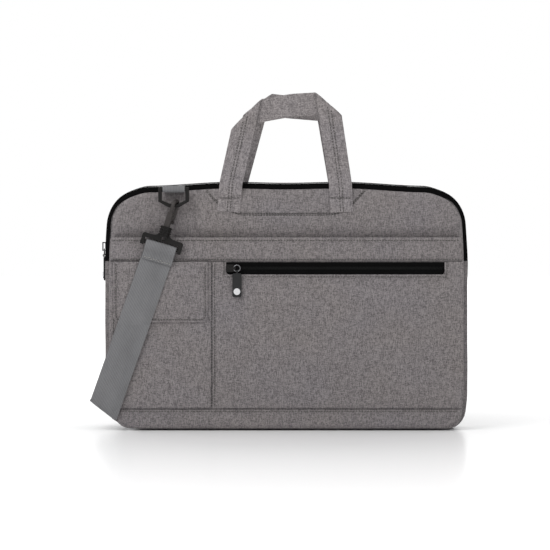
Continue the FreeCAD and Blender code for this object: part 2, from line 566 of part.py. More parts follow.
def strap():
    """Webbing from the front clip, round the lower left corner and up the back to the rear clip."""
    front, rear = clip_places()
    wall = size("strap_wall")
    half = size("strap_width") / 2
    near = size("strap_bar_radius") + size("strap_bar_gap")
    far = near + wall
    drop = size("strap_bar_drop")
    angle = math.radians(size("fold_angle"))
    crease = Vector(math.cos(angle), 0, -math.sin(angle))
    outward = Vector(-math.sin(angle), 0, -math.cos(angle))
    middle = Vector(-size("bag_width") / 2 - size("fold_gap"), 0, size("fold_height"))
    run_y = front.y + near
    back_y = rear.y - near
    bend = size("fold_radius")

    def loop(label, position, turn, tail, leg):
        """Webbing over the strap bar: a half ring with one leg on each side of it."""
        outer = Part.makeCylinder(far, 2 * half, Vector(-half, 0, -drop), Vector(1, 0, 0))
        outer = outer.cut(Part.makeCylinder(near, 2 * half, Vector(-half, 0, -drop), Vector(1, 0, 0)))
        outer = outer.common(Part.makeBox(2 * half, 4 * far, 2 * far, Vector(-half, -2 * far, -drop)))
        outside = Part.makeBox(2 * half, wall, tail, Vector(-half, -far, -drop - tail))
        toward = Part.makeBox(2 * half, wall, leg, Vector(-half, near, -drop - leg))
        shaped(label, outer.fuse([outside, toward]).removeSplitter(), position, turn)

    leg = size("strap_leg")
    loop("strap_loop_front", front, FRONT_TURN, size("strap_tail"), leg)
    loop("strap_loop_rear", rear, REAR_TURN, leg, leg)

    def edges(position, turn):
        return [position + turn.multVec(Vector(x, 0, -drop - leg)) for x in (-half, half)]

    top_left, top_right = edges(front, FRONT_TURN)
    run = middle - (top_left + top_right) / 2
    run.y = 0
    across = half / math.sin(crease.getAngle(run))
    inset = outward * bend
    fold_left = middle - crease * across - inset
    fold_right = middle + crease * across - inset

    def flat(label, corners, low_y):
        points = [Vector(point.x, low_y, point.z) for point in corners]
        shaped(label, face_of(points).extrude(Vector(0, wall, 0)))

    split = size("strap_split_height")

    def at_height(start, end, height):
        share = (start.z - height) / (start.z - end.z)
        return start + (end - start) * share

    split_left = at_height(top_left, fold_left, split)
    split_right = at_height(top_right, fold_right, split)
    flat("strap_front_upper", [top_left, top_right, split_right, split_left], run_y)
    flat("strap_front_lower", [split_left, split_right, fold_right, fold_left], run_y)

    # the strap bends round the crease, crosses the corner and bends again behind the bag
    def section(distance, y_at):
        spot = middle - crease * across + outward * distance
        return Vector(spot.x, y_at, spot.z)

    def arc(centre_y, start, radius):
        points = []
        for share in (0, 0.5, 1):
            turn = math.radians(start + 90 * share)
            points.append(section(-bend + radius * math.sin(turn), centre_y - radius * math.cos(turn)))
        return points

    slim = bend - wall
    front_centre = run_y + bend
    back_centre = back_y - bend
    outer_front = arc(front_centre, 0, bend)
    outer_back = arc(back_centre, 90, bend)
    inner_front = arc(front_centre, 0, slim)
    inner_back = arc(back_centre, 90, slim)
    path = [Part.Arc(*outer_front).toShape(), Part.makeLine(outer_front[2], outer_back[0]),
            Part.Arc(*outer_back).toShape(), Part.makeLine(outer_back[2], inner_back[2]),
            Part.Arc(*reversed(inner_back)).toShape(), Part.makeLine(inner_back[0], inner_front[2]),
            Part.Arc(*reversed(inner_front)).toShape(), Part.makeLine(inner_front[0], outer_front[0])]
    crossing = Part.Face(Part.Wire(path)).extrude(crease * (2 * across))
    shaped("strap_crossing", crossing)

    rear_edges = edges(rear, REAR_TURN)
    flat("strap_back", [fold_left, fold_right, rear_edges[0], rear_edges[1]], back_y - wall)

    # the doubled end comes back over the outside to the adjuster
    axis = clip_axis(size("rear_clip_tilt"))
    side = Vector(axis.z, 0, -axis.x)
    start = rear - axis * (drop + leg)
    end = rear - axis * size("adjuster_place")
    outer_y = rear.y + near
    flat("strap_return", [start - side * half, start + side * half, end + side * half, end - side * half],
         outer_y)
    frame_turn = REAR_TURN
    rim = size("adjuster_bar")
    width = size("strap_width") + 2 * (rim + size("adjuster_play"))
    length = size("adjuster_length")
    thick = size("adjuster_wall")
    frame = Part.makeBox(width, thick, length, Vector(-width / 2, -thick / 2, -length / 2))
    window = (length - 3 * rim) / 2
    for low in (-length / 2 + rim, rim / 2):
        corner = Vector(rim - width / 2, -thick, low)
        frame = frame.cut(Part.makeBox(width - 2 * rim, thick + 2, window, corner))
    middle_y = (back_y + outer_y) / 2
    spot = rear - axis * size("adjuster_place")
    shaped("strap_adjuster", frame, Vector(spot.x, middle_y, spot.z), frame_turn)


# ---- sliders and pulls, drawn with the zip along X and the outside at -Y ----

def slider(label, position, rotation, height, reach):
    """Plate over the coil, and a bridge along the zip that holds the pull's ring."""
    length, width = size("slider_length"), size("slider_width")
    base = size("slider_plate")
    leg = size("bridge_leg")
    gap_wide = size("fine_gap")
    wide = size("bridge_width")
    plate_box = Part.makeBox(length - 2, base, width, Vector(-length / 2, -base, -width / 2))
    arch_box = Part.makeBox(length, height, wide, Vector(-length / 2, -base - height, -wide / 2))
    gap = Part.makeBox(length - 2 * leg, height - leg, wide + 2,
                       Vector(-length / 2 + leg, -base - height + leg, -wide / 2 - 1))
    body = plate_box.fuse(arch_box.cut(gap))
    if reach:
        post = Part.makeBox(3, reach, 2 * (size("zip_gap") - gap_wide),
                            Vector(-length / 2, 0, gap_wide - size("zip_gap")))
        back = Part.makeBox(length - 2, base, width, Vector(-length / 2, reach, -width / 2))
        body = body.fuse([post, back])
    shaped(label, body.removeSplitter(), position, rotation)


def pull_ring(label, position, rotation):
    """Wire ring that faces outward."""
    shape = Part.makeTorus(size("pull_ring_radius"), size("pull_wire_radius"), Vector(), Vector(0, 1, 0))
    shaped(label, shape, position, rotation)


def pull_tab(name, position, rotation):
    """Tab that hangs from the ring by a short knuckle, with a plain round rivet."""
    width, wall, length = size("tab_width"), size("tab_wall"), size("tab_length")
    knuckle_wide = size("knuckle_width")
    knuckle = Part.makeCylinder(size("knuckle_radius"), knuckle_wide, Vector(-knuckle_wide / 2, 0, 0),
                                Vector(1, 0, 0))
    top = -size("knuckle_radius") - size("fine_gap")
    tab = Part.makeBox(width, wall, length, Vector(-width / 2, -wall / 2, top - length))
    upright = [edge for edge in tab.Edges if edge.BoundBox.YLength > wall / 2]
    tab = tab.makeFillet(width / 6, upright)
    neck = Part.makeBox(knuckle_wide, wall, size("knuckle_neck"),
                        Vector(-knuckle_wide / 2, -wall / 2, top - 1))
    bore = Part.makeCylinder(size("knuckle_bore"), knuckle_wide + 2, Vector(-knuckle_wide / 2 - 1, 0, 0),
                             Vector(1, 0, 0))
    shape = tab.fuse([knuckle, neck]).cut(bore).removeSplitter()
    shaped(name + "_pull_tab", shape, position, rotation)
    rivet = Part.makeCylinder(size("rivet_radius"), size("rivet_height"),
                              Vector(0, -wall / 2 - size("rivet_height"), top - size("rivet_place")),
                              Vector(0, 1, 0))
    shaped(name + "_pull_rivet", rivet, position, rotation)


def main_pull():
    """Slider on the left side of the main zip, its pull hanging along the zip."""
    side = Rotation(Vector(0, 0, 1), -90)
    left = -size("bag_width") / 2 - size("fine_gap")
    height = value(BAND_LOW) + size("main_slider_rise")
    slider("main_slider", Vector(left, 0, height), side.multiply(Rotation(Vector(0, 1, 0), 90)),
           size("bridge_height"), size("coil_height") + 2 * size("fine_gap"))
    lift = size("slider_plate") + (size("bridge_height") - size("bridge_leg")) / 2
    hang = height - size("slider_length") / 2 + size("bridge_leg") + size("pull_ring_play")
    hang -= size("pull_ring_radius")
    pull_ring("main_pull_ring", Vector(left - lift, 0, hang), side)
    pull_tab("main", Vector(left - lift, 0, hang - size("pull_ring_radius")), side)


def pocket_pull():
    """Slider at the left end of the pocket zip, its pull hanging down across the zip."""
    tape = size("pocket_tape_width")
    middle = value(POCKET_ZIP_TOP) - tape - size("pocket_coil_width") / 2
    face = value(POCKET_INSIDE) - size("pocket_coil_height") - size("fine_gap")
    spot = value(POCKET_ZIP_LEFT) + size("pocket_slider_gap")
    slider("pocket_slider", Vector(spot, face, middle), Rotation(), size("pocket_bridge_height"), 0)
    lift = size("slider_plate") + (size("pocket_bridge_height") - size("bridge_leg")) / 2
    across = spot + size("slider_length") / 2 - size("bridge_leg") - size("pull_ring_play")
    across += size("pull_ring_radius")
    pull_ring("pocket_pull_ring", Vector(across, face - lift, middle), Rotation())
    pull_tab("pocket", Vector(across, face - lift, middle - size("pull_ring_radius")), Rotation())


gusset()
main_zip()
panels()
inside()
pockets()
for name, side in (("front", -1), ("rear", 1)):
    handle_tabs("handle_ends_" + name, side)
    handle("handle_" + name, side)
    web_loop("web_loop_" + name, side * size("ring_offset"), side)
    ring("ring_" + name, side * size("ring_offset"), side)
front_place, rear_place = clip_places()
clip("front", front_place, FRONT_TURN)
clip("rear", rear_place, REAR_TURN)
strap()
main_pull()
pocket_pull()
doc.recompute()

for item in doc.Objects:
    if "Invalid" in item.State or "Error" in item.State:
        raise RuntimeError(f"{item.Label} did not build: {item.State}")
os.makedirs("parts", exist_ok=True)
for item in parts:
    if item.Shape.isNull() or not item.Shape.isValid() or not item.Shape.Solids:
        raise RuntimeError(f"{item.Label} has no valid solid")
for item in parts:
    item.Shape.exportStep(f"parts/{item.Label}.step")
print(len(parts), "sub-parts written")
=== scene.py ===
"""Soft laptop briefcase: fabric, webbing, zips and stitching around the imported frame.

Everything is in metres, +Z up, -Y the front. Fabric pieces are closed surfaces on a grid of two
parameters, worked out as whole arrays. Their UV maps are in metres of cloth, so one weave fits all.
"""

import json
import math

import bmesh
import bpy
import numpy as np
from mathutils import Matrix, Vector


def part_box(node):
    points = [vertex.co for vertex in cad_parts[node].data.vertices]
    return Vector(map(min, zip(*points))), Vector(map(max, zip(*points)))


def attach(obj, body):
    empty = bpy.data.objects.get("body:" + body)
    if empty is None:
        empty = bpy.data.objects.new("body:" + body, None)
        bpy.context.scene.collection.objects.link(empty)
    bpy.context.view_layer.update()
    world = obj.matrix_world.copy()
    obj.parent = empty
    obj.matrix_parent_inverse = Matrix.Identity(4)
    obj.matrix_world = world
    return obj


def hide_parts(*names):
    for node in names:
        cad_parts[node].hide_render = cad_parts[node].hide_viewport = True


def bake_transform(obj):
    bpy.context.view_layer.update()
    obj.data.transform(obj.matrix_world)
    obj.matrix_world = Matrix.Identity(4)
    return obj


bl_info = {
    "name": "Laptop Briefcase",
    "version": (1, 0, 0),
    "blender": (4, 5, 0),
    "location": "View3D > Sidebar > Briefcase",
    "description": "Builds the cloth, webbing, zips and stitching of a soft laptop briefcase",
    "category": "Object",
}

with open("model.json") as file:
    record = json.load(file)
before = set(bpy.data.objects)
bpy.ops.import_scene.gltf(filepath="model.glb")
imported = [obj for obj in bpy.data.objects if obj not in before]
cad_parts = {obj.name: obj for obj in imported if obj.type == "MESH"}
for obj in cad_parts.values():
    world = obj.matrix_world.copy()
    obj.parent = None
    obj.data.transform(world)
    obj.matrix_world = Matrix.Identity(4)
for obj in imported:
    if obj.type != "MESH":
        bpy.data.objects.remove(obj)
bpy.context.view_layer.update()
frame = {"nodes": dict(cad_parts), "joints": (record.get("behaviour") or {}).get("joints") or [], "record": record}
JOINTS = {joint["name"]: joint for joint in frame["joints"]}


def low(node):
    return np.array(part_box(node)[0])


def high(node):
    return np.array(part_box(node)[1])


def extent(first, last=None):
    """Left, right, foot and top seen from the front: one node's low corner to another's high one."""
    lo, hi = low(first), high(last or first)
    return float(lo[0]), float(hi[0]), float(lo[2]), float(hi[2])


_, HALF_WIDTH, _, HEIGHT = extent("lining_front")
ZIP_END = float(high("gusset_lower")[2])
FACE = float(low("shell_front")[1])
REAR_FACE = float(high("shell_rear_lower")[1])
PANEL_LEFT, PANEL_RIGHT, PANEL_FOOT, PANEL_TOP = extent("shell_front")
POCKET_FACE = float(low("zip_pocket_panel")[1])
TOP_RADIUS = 0.047
BASE_RADIUS = 0.020
STRAP_CORNER_RADIUS = 0.048
INSET = HALF_WIDTH - PANEL_RIGHT
SEED = 11


# ---------------------------------------------------------------- settings

def length(name, description, default, least, most):
    """A distance in metres."""
    return bpy.props.FloatProperty(name=name, description=description, default=default, min=least,
                                   max=most, subtype="DISTANCE", unit="LENGTH")


def shade(name, description, default):
    """A colour."""
    return bpy.props.FloatVectorProperty(name=name, description=description, default=default,
                                         subtype="COLOR", size=3, min=0.0, max=1.0)


class BriefcaseCloth(bpy.types.PropertyGroup):
    """How full and how wrinkled the cloth is."""

    puff: length("Padding", "How far the foam pushes the front panel out", 0.0035, 0.0, 0.01)
    wrinkle: length("Wrinkles", "Height of the slow waves in the cloth", 0.0007, 0.0, 0.003)
    thread: length("Thread", "Distance between two threads of the cloth", 0.0011, 0.0003, 0.004)
    dark: shade("Dark thread", "Colour of the darker threads", (0.083, 0.077, 0.079))
    light: shade("Light thread", "Colour of the lighter threads", (0.225, 0.209, 0.211))


class BriefcaseWebbing(bpy.types.PropertyGroup):
    """The straps' woven band and the stitches."""

    wall: length("Webbing thickness", "Thickness of the strap", 0.0014, 0.0005, 0.004)
    rib: length("Rib", "Width of one rib along the strap", 0.0017, 0.001, 0.006)
    colour: shade("Webbing colour", "Colour of the strap", (0.119, 0.119, 0.123))
    stitch: length("Stitch length", "Length of one stitch", 0.0026, 0.001, 0.006)


class BriefcaseZip(bpy.types.PropertyGroup):
    """The teeth of the two zips."""

    pitch: length("Tooth pitch", "Distance between two teeth", 0.0016, 0.0008, 0.004)
    tooth: length("Tooth", "Radius of one tooth", 0.00052, 0.0002, 0.002)


def cloth_settings():
    return bpy.context.scene.briefcase_cloth


def webbing_settings():
    return bpy.context.scene.briefcase_webbing


def zip_settings():
    return bpy.context.scene.briefcase_zip


# ---------------------------------------------------------------- shader expressions

class Wire:
    """A shader socket that can be used in a Python expression."""

    def __init__(self, paint, socket):
        self.paint = paint
        self.socket = socket

    def _maths(self, operation, *values):
        return self.paint.node("ShaderNodeMath", {"operation": operation}, dict(enumerate(values)))

    def __add__(self, other):
        return self._maths("ADD", self, other)

    def __radd__(self, other):
        return self._maths("ADD", other, self)

    def __sub__(self, other):
        return self._maths("SUBTRACT", self, other)

    def __rsub__(self, other):
        return self._maths("SUBTRACT", other, self)

    def __mul__(self, other):
        return self._maths("MULTIPLY", self, other)

    def __rmul__(self, other):
        return self._maths("MULTIPLY", other, self)

    def __truediv__(self, other):
        return self._maths("DIVIDE", self, other)

    def __pow__(self, other):
        return self._maths("POWER", self, other)

    def sine(self):
        return self._maths("SINE", self)

    def size(self):
        return self._maths("ABSOLUTE", self)

    def clamp(self):
        return self.paint.node("ShaderNodeClamp", {}, {0: self, 1: 0.0, 2: 1.0})


class Paint:
    """A material whose nodes are made one way."""

    def __init__(self, name, **looks):
        self.material = bpy.data.materials.new(name)
        self.material.use_nodes = True
        self.tree = self.material.node_tree
        self.shader = self.tree.nodes["Principled BSDF"]
        for socket, value in looks.items():
            self.shader.inputs[socket.replace("_", " ")].default_value = value

    def node(self, kind, options, inputs, output=0):
        """One node: its settings first, then its sockets' values or links. Gives one output."""
        item = self.tree.nodes.new(kind)
        for word, value in options.items():
            setattr(item, word, value)
        for key, value in inputs.items():
            if isinstance(value, Wire):
                self.tree.links.new(value.socket, item.inputs[key])
            else:
                item.inputs[key].default_value = value
        return Wire(self, item.outputs[output])

    def drive(self, socket, wire):
        self.tree.links.new(wire.socket, self.shader.inputs[socket])

    def cloth_place(self):
        """(u, v) in metres along and across the cloth."""
        return self.axes(self.node("ShaderNodeUVMap", {"uv_map": "cloth"}, {}))[:2]

    def object_place(self):
        return self.node("ShaderNodeTexCoord", {}, {}, "Object")

    def axes(self, place):
        """The x, y and z of a place."""
        split = self.node("ShaderNodeSeparateXYZ", {}, {0: place}).socket.node
        return tuple(Wire(self, output) for output in split.outputs)

    def noise(self, u, v, wide, long, detail=2.0, rough=0.55):
        """Noise whose patches are wide metres along u and long metres along v."""
        place = self.node("ShaderNodeCombineXYZ", {}, {0: u / wide, 1: v / long, 2: 0.37})
        inputs = {"Vector": place, "Scale": 1.0, "Detail": detail, "Roughness": rough}
        return self.node("ShaderNodeTexNoise", {}, inputs)

    def speckle(self, place, scale, detail=3.0):
        return self.node("ShaderNodeTexNoise", {}, {"Vector": place, "Scale": scale, "Detail": detail})

    def mix(self, share, first, second):
        return self.node("ShaderNodeMix", {"data_type": "RGBA"}, {0: share, 6: first, 7: second}, 2)

    def bump(self, height, distance, strength=1.0):
        inputs = {"Strength": strength, "Distance": distance, "Height": height}
        self.drive("Normal", self.node("ShaderNodeBump", {}, inputs))


def rgba(colour, share=1.0):
    return tuple(min(1.0, part * share) for part in colour) + (1.0,)


def tinted(colour, tint):
    return tuple(part * share for part, share in zip(colour, tint))


def heather_paint(name, tone=1.0, contrast=1.0):
    """Plain weave in which each thread has its own shade, so the grey is flecked both ways."""
    cloth = cloth_settings()
    paint = Paint(name, Roughness=0.92, Specular_IOR_Level=0.15, Sheen_Weight=0.12, Sheen_Roughness=0.5)
    u, v = paint.cloth_place()
    warp = paint.noise(u, v, 0.0008, 0.0046)
    weft = paint.noise(u + 3.1, v, 0.0042, 0.0008)
    fleck = paint.noise(u + 7.7, v, 0.0009, 0.0009, 1.0)
    cloud = paint.noise(u, v, 0.07, 0.05, 1.0)
    threads = (warp - 0.5) * (1.9 * contrast) + (weft - 0.5) * (1.5 * contrast)
    share = (0.5 + threads + (fleck - 0.5) * (1.7 * contrast)).clamp()
    warm, cool = (1.03, 1.0, 0.955), (0.965, 0.965, 1.0)
    dark = paint.mix(cloud, rgba(tinted(cloth.dark, warm), tone), rgba(tinted(cloth.dark, cool), tone))
    light = paint.mix(cloud, rgba(tinted(cloth.light, warm), tone), rgba(tinted(cloth.light, cool), tone))
    paint.drive("Base Color", paint.mix(share, dark, light))
    turn = 2 * math.pi / cloth.thread
    weave = (u * turn).sine() * (v * turn).sine()
    paint.bump(weave * 0.4 + warp + weft, 0.0003, 0.55)
    return paint.material


def webbing_paint(name, colour, rib):
    """Flat webbing: ribs along it, with painted shade in the valleys between them and faint wear."""
    paint = Paint(name, Roughness=0.66, Specular_IOR_Level=0.25, Sheen_Weight=0.08)
    u, v = paint.cloth_place()
    ribs = (v * (math.pi / rib)).sine().size()
    grain = paint.noise(u, v, 0.004, 0.0006, 2.0)
    wear = paint.noise(u, v, 0.05, 0.02, 2.0)
    # The base colour darkens in the valleys between the ribs as painted shade; the broad wear noise is the strap's
    # own tone.
    share = (ribs * 0.75 + grain * 0.45 + (wear - 0.5) * 0.7 - 0.1).clamp()
    paint.drive("Base Color", paint.mix(share, rgba(colour, 0.68), rgba(colour, 1.4)))
    paint.bump(ribs + grain * 0.4, 0.00045, 0.8)
    return paint.material


# width in metres of one stripe of the tape's herringbone
TAPE_PITCH = 0.0012
# radians per metre of the lining's check
LINING_CHECK = 5200.0


def tape_paint(name):
    """Black herringbone zip tape."""
    paint = Paint(name, Roughness=0.8, Specular_IOR_Level=0.0)
    u, v = paint.cloth_place()
    turn = 2 * math.pi / TAPE_PITCH
    zigzag = (u * turn + (v * turn).sine() * 1.6).sine()
    grain = paint.noise(u, v, 0.002, 0.0008)
    share = (zigzag * 0.25 + grain).clamp()
    paint.drive("Base Color", paint.mix(share, (0.002, 0.002, 0.002, 1), (0.007, 0.0068, 0.007, 1)))
    paint.bump(zigzag + grain, 0.0002, 0.7)
    return paint.material


def lining_paint(name):
    """Smooth dark lining cloth with a faint small check."""
    paint = Paint(name, Roughness=0.55, Specular_IOR_Level=0.4, Sheen_Weight=0.2)
    x, _, z = paint.axes(paint.object_place())
    weave = (x * LINING_CHECK).sine() * (z * LINING_CHECK).sine()
    cloud = paint.speckle(paint.object_place(), 45.0)
    paint.drive("Base Color", paint.mix(cloud, (0.03, 0.03, 0.034, 1), (0.06, 0.06, 0.066, 1)))
    paint.bump(weave + cloud * 2.0, 0.00015, 0.6)
    return paint.material


def hard_paint(name, dark, light, roughness, metallic, grain, depth, gloss=0.5):
    """Plastic or metal with fine grain, cloudy roughness and slightly worn high spots."""
    paint = Paint(name, Metallic=metallic, Specular_IOR_Level=gloss)
    place = paint.object_place()
    fine = paint.speckle(place, grain)
    broad = paint.speckle(place, grain / 14.0)
    paint.drive("Base Color", paint.mix((broad * 0.7 + fine * 0.5 - 0.1).clamp(), rgba(dark), rgba(light)))
    paint.drive("Roughness", (roughness + (broad - 0.5) * 0.22 + (fine - 0.5) * 0.1).clamp())
    paint.bump(fine, depth, 0.5)
    return paint.material


# slot: (name, darkest and lightest colour, roughness, metallic, grain, depth, gloss)
HARD_PAINTS = {
    "stitch": ("stitch thread", (0.03, 0.028, 0.026), (0.075, 0.07, 0.065), 0.8, 0.0, 1500.0, 0.0001),
    "pale_thread": ("pale thread", (0.16, 0.155, 0.15), (0.3, 0.29, 0.28), 0.8, 0.0, 1500.0, 0.0001),
    # black thread is used only for the pockets' seam line, as painted shade.
    "black_thread": ("black thread", (0.01, 0.01, 0.01), (0.03, 0.03, 0.03), 0.75, 0.0, 1500.0, 0.0001),
    "zip_coil": ("zip teeth", (0.006, 0.006, 0.006), (0.016, 0.016, 0.016), 0.6, 0.0, 900.0, 0.00004, 0.0),
    "black_metal": ("painted metal", (0.005, 0.0047, 0.0046), (0.014, 0.013, 0.0125), 0.24, 0.0, 700.0,
                    0.00004, 0.13),
    "bronzed_metal": ("bronzed hook", (0.018, 0.0155, 0.015), (0.046, 0.04, 0.038), 0.3, 0.2, 700.0,
                      0.00004, 0.3),
    "silver_metal": ("nickel", (0.45, 0.45, 0.46), (0.72, 0.72, 0.73), 0.24, 1.0, 900.0, 0.00002),
    "dark_chrome": ("dark chrome", (0.1, 0.1, 0.105), (0.22, 0.22, 0.225), 0.22, 1.0, 900.0, 0.00002),
    "black_rubber": ("moulded tab", (0.008, 0.008, 0.008), (0.02, 0.02, 0.021), 0.5, 0.0, 1100.0, 0.00006,
                     0.2),
    "black_plastic": ("adjuster plastic", (0.012, 0.012, 0.012), (0.028, 0.028, 0.028), 0.32, 0.0, 800.0,
                      0.00004, 0.35),
    "foam": ("foam", (0.22, 0.22, 0.23), (0.34, 0.34, 0.35), 0.95, 0.0, 1600.0, 0.0003),
    "board": ("board", (0.02, 0.02, 0.02), (0.05, 0.05, 0.05), 0.6, 0.0, 600.0, 0.0001),
}
PAINTS = {}


def paints():
    """Every material, made once."""
    if PAINTS:
        return PAINTS
    webbing = webbing_settings()
    PAINTS["heather_fabric"] = heather_paint("heather cloth")
    PAINTS["handle_webbing"] = heather_paint("handle cloth", 1.18, 1.0)
    # The side walls' cloth is the front's weave made darker (tone 0.82): painted shade for walls that turn away
    # from the light.
    PAINTS["gusset_cloth"] = heather_paint("gusset cloth", 0.82, 0.9)
    PAINTS["webbing"] = webbing_paint("strap webbing", webbing.colour, webbing.rib)
    PAINTS["zip_tape"] = tape_paint("zip tape")
    PAINTS["lining_cloth"] = lining_paint("lining cloth")
    for slot, looks in HARD_PAINTS.items():
        PAINTS[slot] = hard_paint(*looks)
    return PAINTS


# ---------------------------------------------------------------- surfaces

def finish_mesh(name, points, faces, loops_uv, slot, paint=None):
    """Mesh from flat arrays, smooth, with its cloth map in metres."""
    mesh = bpy.data.meshes.new(name)
    mesh.from_pydata(points, [], faces)
    layer = mesh.uv_layers.new(name="cloth")
    layer.data.foreach_set("uv", np.asarray(loops_uv, np.float32).ravel())
    mesh.polygons.foreach_set("use_smooth", np.ones(len(mesh.polygons), bool))
    mesh.update()
    mesh.set_sharp_from_angle(angle=math.radians(50))
    item = bpy.data.objects.new(name, mesh)
    bpy.context.scene.collection.objects.link(item)
    mesh.materials.append(paints()[paint or slot])
    return item


def quads(rows, columns):
    """Corners of a grid of quads whose columns close into a ring: in its points and in its map."""
    i, j = np.meshgrid(np.arange(rows - 1), np.arange(columns), indexing="ij")

    def corners(width, after):
        around = [i * width + j, (i + 1) * width + j, (i + 1) * width + after, i * width + after]
        return np.stack(around, -1).reshape(-1, 4)

    return corners(columns, (j + 1) % columns), corners(columns + 1, j + 1)


def loft(name, face, rear, face_uv, slot, paint=None, warp=None):
    """Closed skin with both ends capped: grids of its face and of the rear behind it, (n, m, 3)."""
    sections = np.concatenate([face, rear[:, ::-1]], 1)
    if warp:
        sections = warp(sections)
    uv = np.concatenate([face_uv, face_uv[:, ::-1], face_uv[:, :1]], 1).reshape(-1, 2)
    count, ring = sections.shape[:2]
    index, uv_index = quads(count, ring)
    first, last = np.arange(ring)[::-1], np.arange(ring)
    faces = index.tolist() + [first.tolist(), (last + (count - 1) * ring).tolist()]
    end_uv = uv[last + (count - 1) * (ring + 1)]
    loops = np.concatenate([uv[uv_index].reshape(-1, 2), uv[first], end_uv])
    item = finish_mesh(name, sections.reshape(-1, 3), faces, loops, slot, paint)
    outward(item)
    return item


def outward(item):
    """Turn every face to the outside of its closed shell."""
    work = bmesh.new()
    work.from_mesh(item.data)
    bmesh.ops.recalc_face_normals(work, faces=work.faces)
    work.to_mesh(item.data)
    work.free()


def lattice_noise(u, v, cell, seed):
    """Smooth noise in -1..1: random values on a square lattice, eased between its points."""
    table = np.random.default_rng(seed).uniform(-1, 1, (64, 64))
    a, b = u / cell + 1000.0, v / cell + 1000.0
    i, j = np.floor(a).astype(int), np.floor(b).astype(int)
    s, t = a - i, b - j
    s, t = s * s * (3 - 2 * s), t * t * (3 - 2 * t)

    def at(di, dj):
        return table[(i + di) % 64, (j + dj) % 64]

    lower = at(0, 0) * (1 - s) + at(1, 0) * s
    upper = at(0, 1) * (1 - s) + at(1, 1) * s
    return lower * (1 - t) + upper * t


def wrinkles(x, z, seed):
    """Slow waves and small puckers of soft cloth, in metres."""
    size = cloth_settings().wrinkle
    slow = lattice_noise(x, z, 0.075, seed) * size
    middle = lattice_noise(x * 1.4, z, 0.026, seed + 1) * size * 0.42
    fine = lattice_noise(x, z, 0.009, seed + 2) * size * 0.14
    return slow + middle + fine


def ease(value, start, end):
    """Smooth step from 0 at start to 1 at end."""
    share = np.clip((value - start) / (end - start), 0, 1)
    return share * share * (3 - 2 * share)


# how far the soft body gives way: sides at the top, shoulders, middle of the top, sides at the foot
SIDE_LEAN = 0.0062
SHOULDER_DROOP = 0.0046
MIDDLE_DIP = 0.0012
FOOT_LEAN = 0.0031


def lean(points):
    """Soft body: the sides lean in at the top and foot, the shoulders droop and the middle dips."""
    rise = np.clip((points[..., 2] - 0.185) / 0.093, 0, 1)
    reach = ease(np.abs(points[..., 0]), 0.09, 0.19)
    points[..., 0] -= np.sign(points[..., 0]) * SIDE_LEAN * rise ** 1.5 * reach
    away = np.abs(points[..., 0])
    shoulder = SHOULDER_DROOP * ease(away, 0.06, 0.158) * (1 - ease(away, 0.166, 0.2))
    dip = MIDDLE_DIP * np.exp(-(points[..., 0] / 0.04) ** 2)
    points[..., 2] -= (shoulder + dip) * ease(points[..., 2], 0.215, 0.272)
    foot = FOOT_LEAN * (1 - ease(points[..., 2], 0.004, 0.042)) * ease(away, 0.15, 0.19)
    points[..., 0] -= np.sign(points[..., 0]) * foot
    return points


class Outline:
    """Rectangle in the XZ plane with its own radius at each corner."""

    def __init__(self, left, right, bottom, top, radii):
        self.left, self.right, self.bottom, self.top = left, right, bottom, top
        self.radii = dict(zip(("top_left", "top_right", "base_left", "base_right"), radii))

    def radius(self, side, z):
        """Corner radius that rules at the height z on one side."""
        middle = (self.bottom + self.top) / 2
        return np.where(z > middle, self.radii["top_" + side], self.radii["base_" + side])

    def pull(self, side, z):
        """How far the side draws in at the height z, along its corner's arc."""
        radius = self.radius(side, z)
        gap = np.minimum(z - self.bottom, self.top - z)
        inside = np.clip(radius - gap, 0, radius)
        return radius - np.sqrt(np.maximum(radius ** 2 - inside ** 2, 0))

    def span(self, z):
        """Left and right edge at the height z."""
        return self.left + self.pull("left", z), self.right - self.pull("right", z)

    def depth(self, x, z):
        """Distance of a point from the nearest edge, round the corners too."""
        side_gap = np.minimum(x - self.left, self.right - x)
        gap = np.minimum(z - self.bottom, self.top - z)
        radius = np.where(x < (self.left + self.right) / 2, self.radius("left", z), self.radius("right", z))
        corner = (side_gap < radius) & (gap < radius)
        arc = radius - np.hypot(radius - side_gap, radius - gap)
        return np.maximum(np.where(corner, arc, np.minimum(side_gap, gap)), 0)


# where the lines beside a break lie, in units of the finest cell, and the least gap between lines
GRADED = np.array([0.0, 0.25, 0.6, 1.1, 1.8, 2.8, 4.2])
LEAST_CELL = 0.00012


def stations(start, end, step, breaks=(), fine=0.0008):
    """Grid lines from start to end: even ones, closer ones at both ends and by each break."""
    count = max(2, int(round((end - start) / step)) + 1)
    near = GRADED * fine
    lines = [np.linspace(start, end, count), start + near, end - near]
    for place in breaks:
        lines += [place + near, place - near]
    lines = np.unique(np.round(np.concatenate(lines), 6))
    lines = lines[(lines >= start) & (lines <= end)]
    keep = np.concatenate([[True], np.diff(lines) > LEAST_CELL])
    return lines[keep]


def edge_roll(depth, radius):
    """Rounded edge: 1 at the edge, falling to 0 one radius inside along a quarter circle."""
    share = np.clip(1 - depth / radius, 0, 1)
    return 1 - np.sqrt(1 - share ** 2)


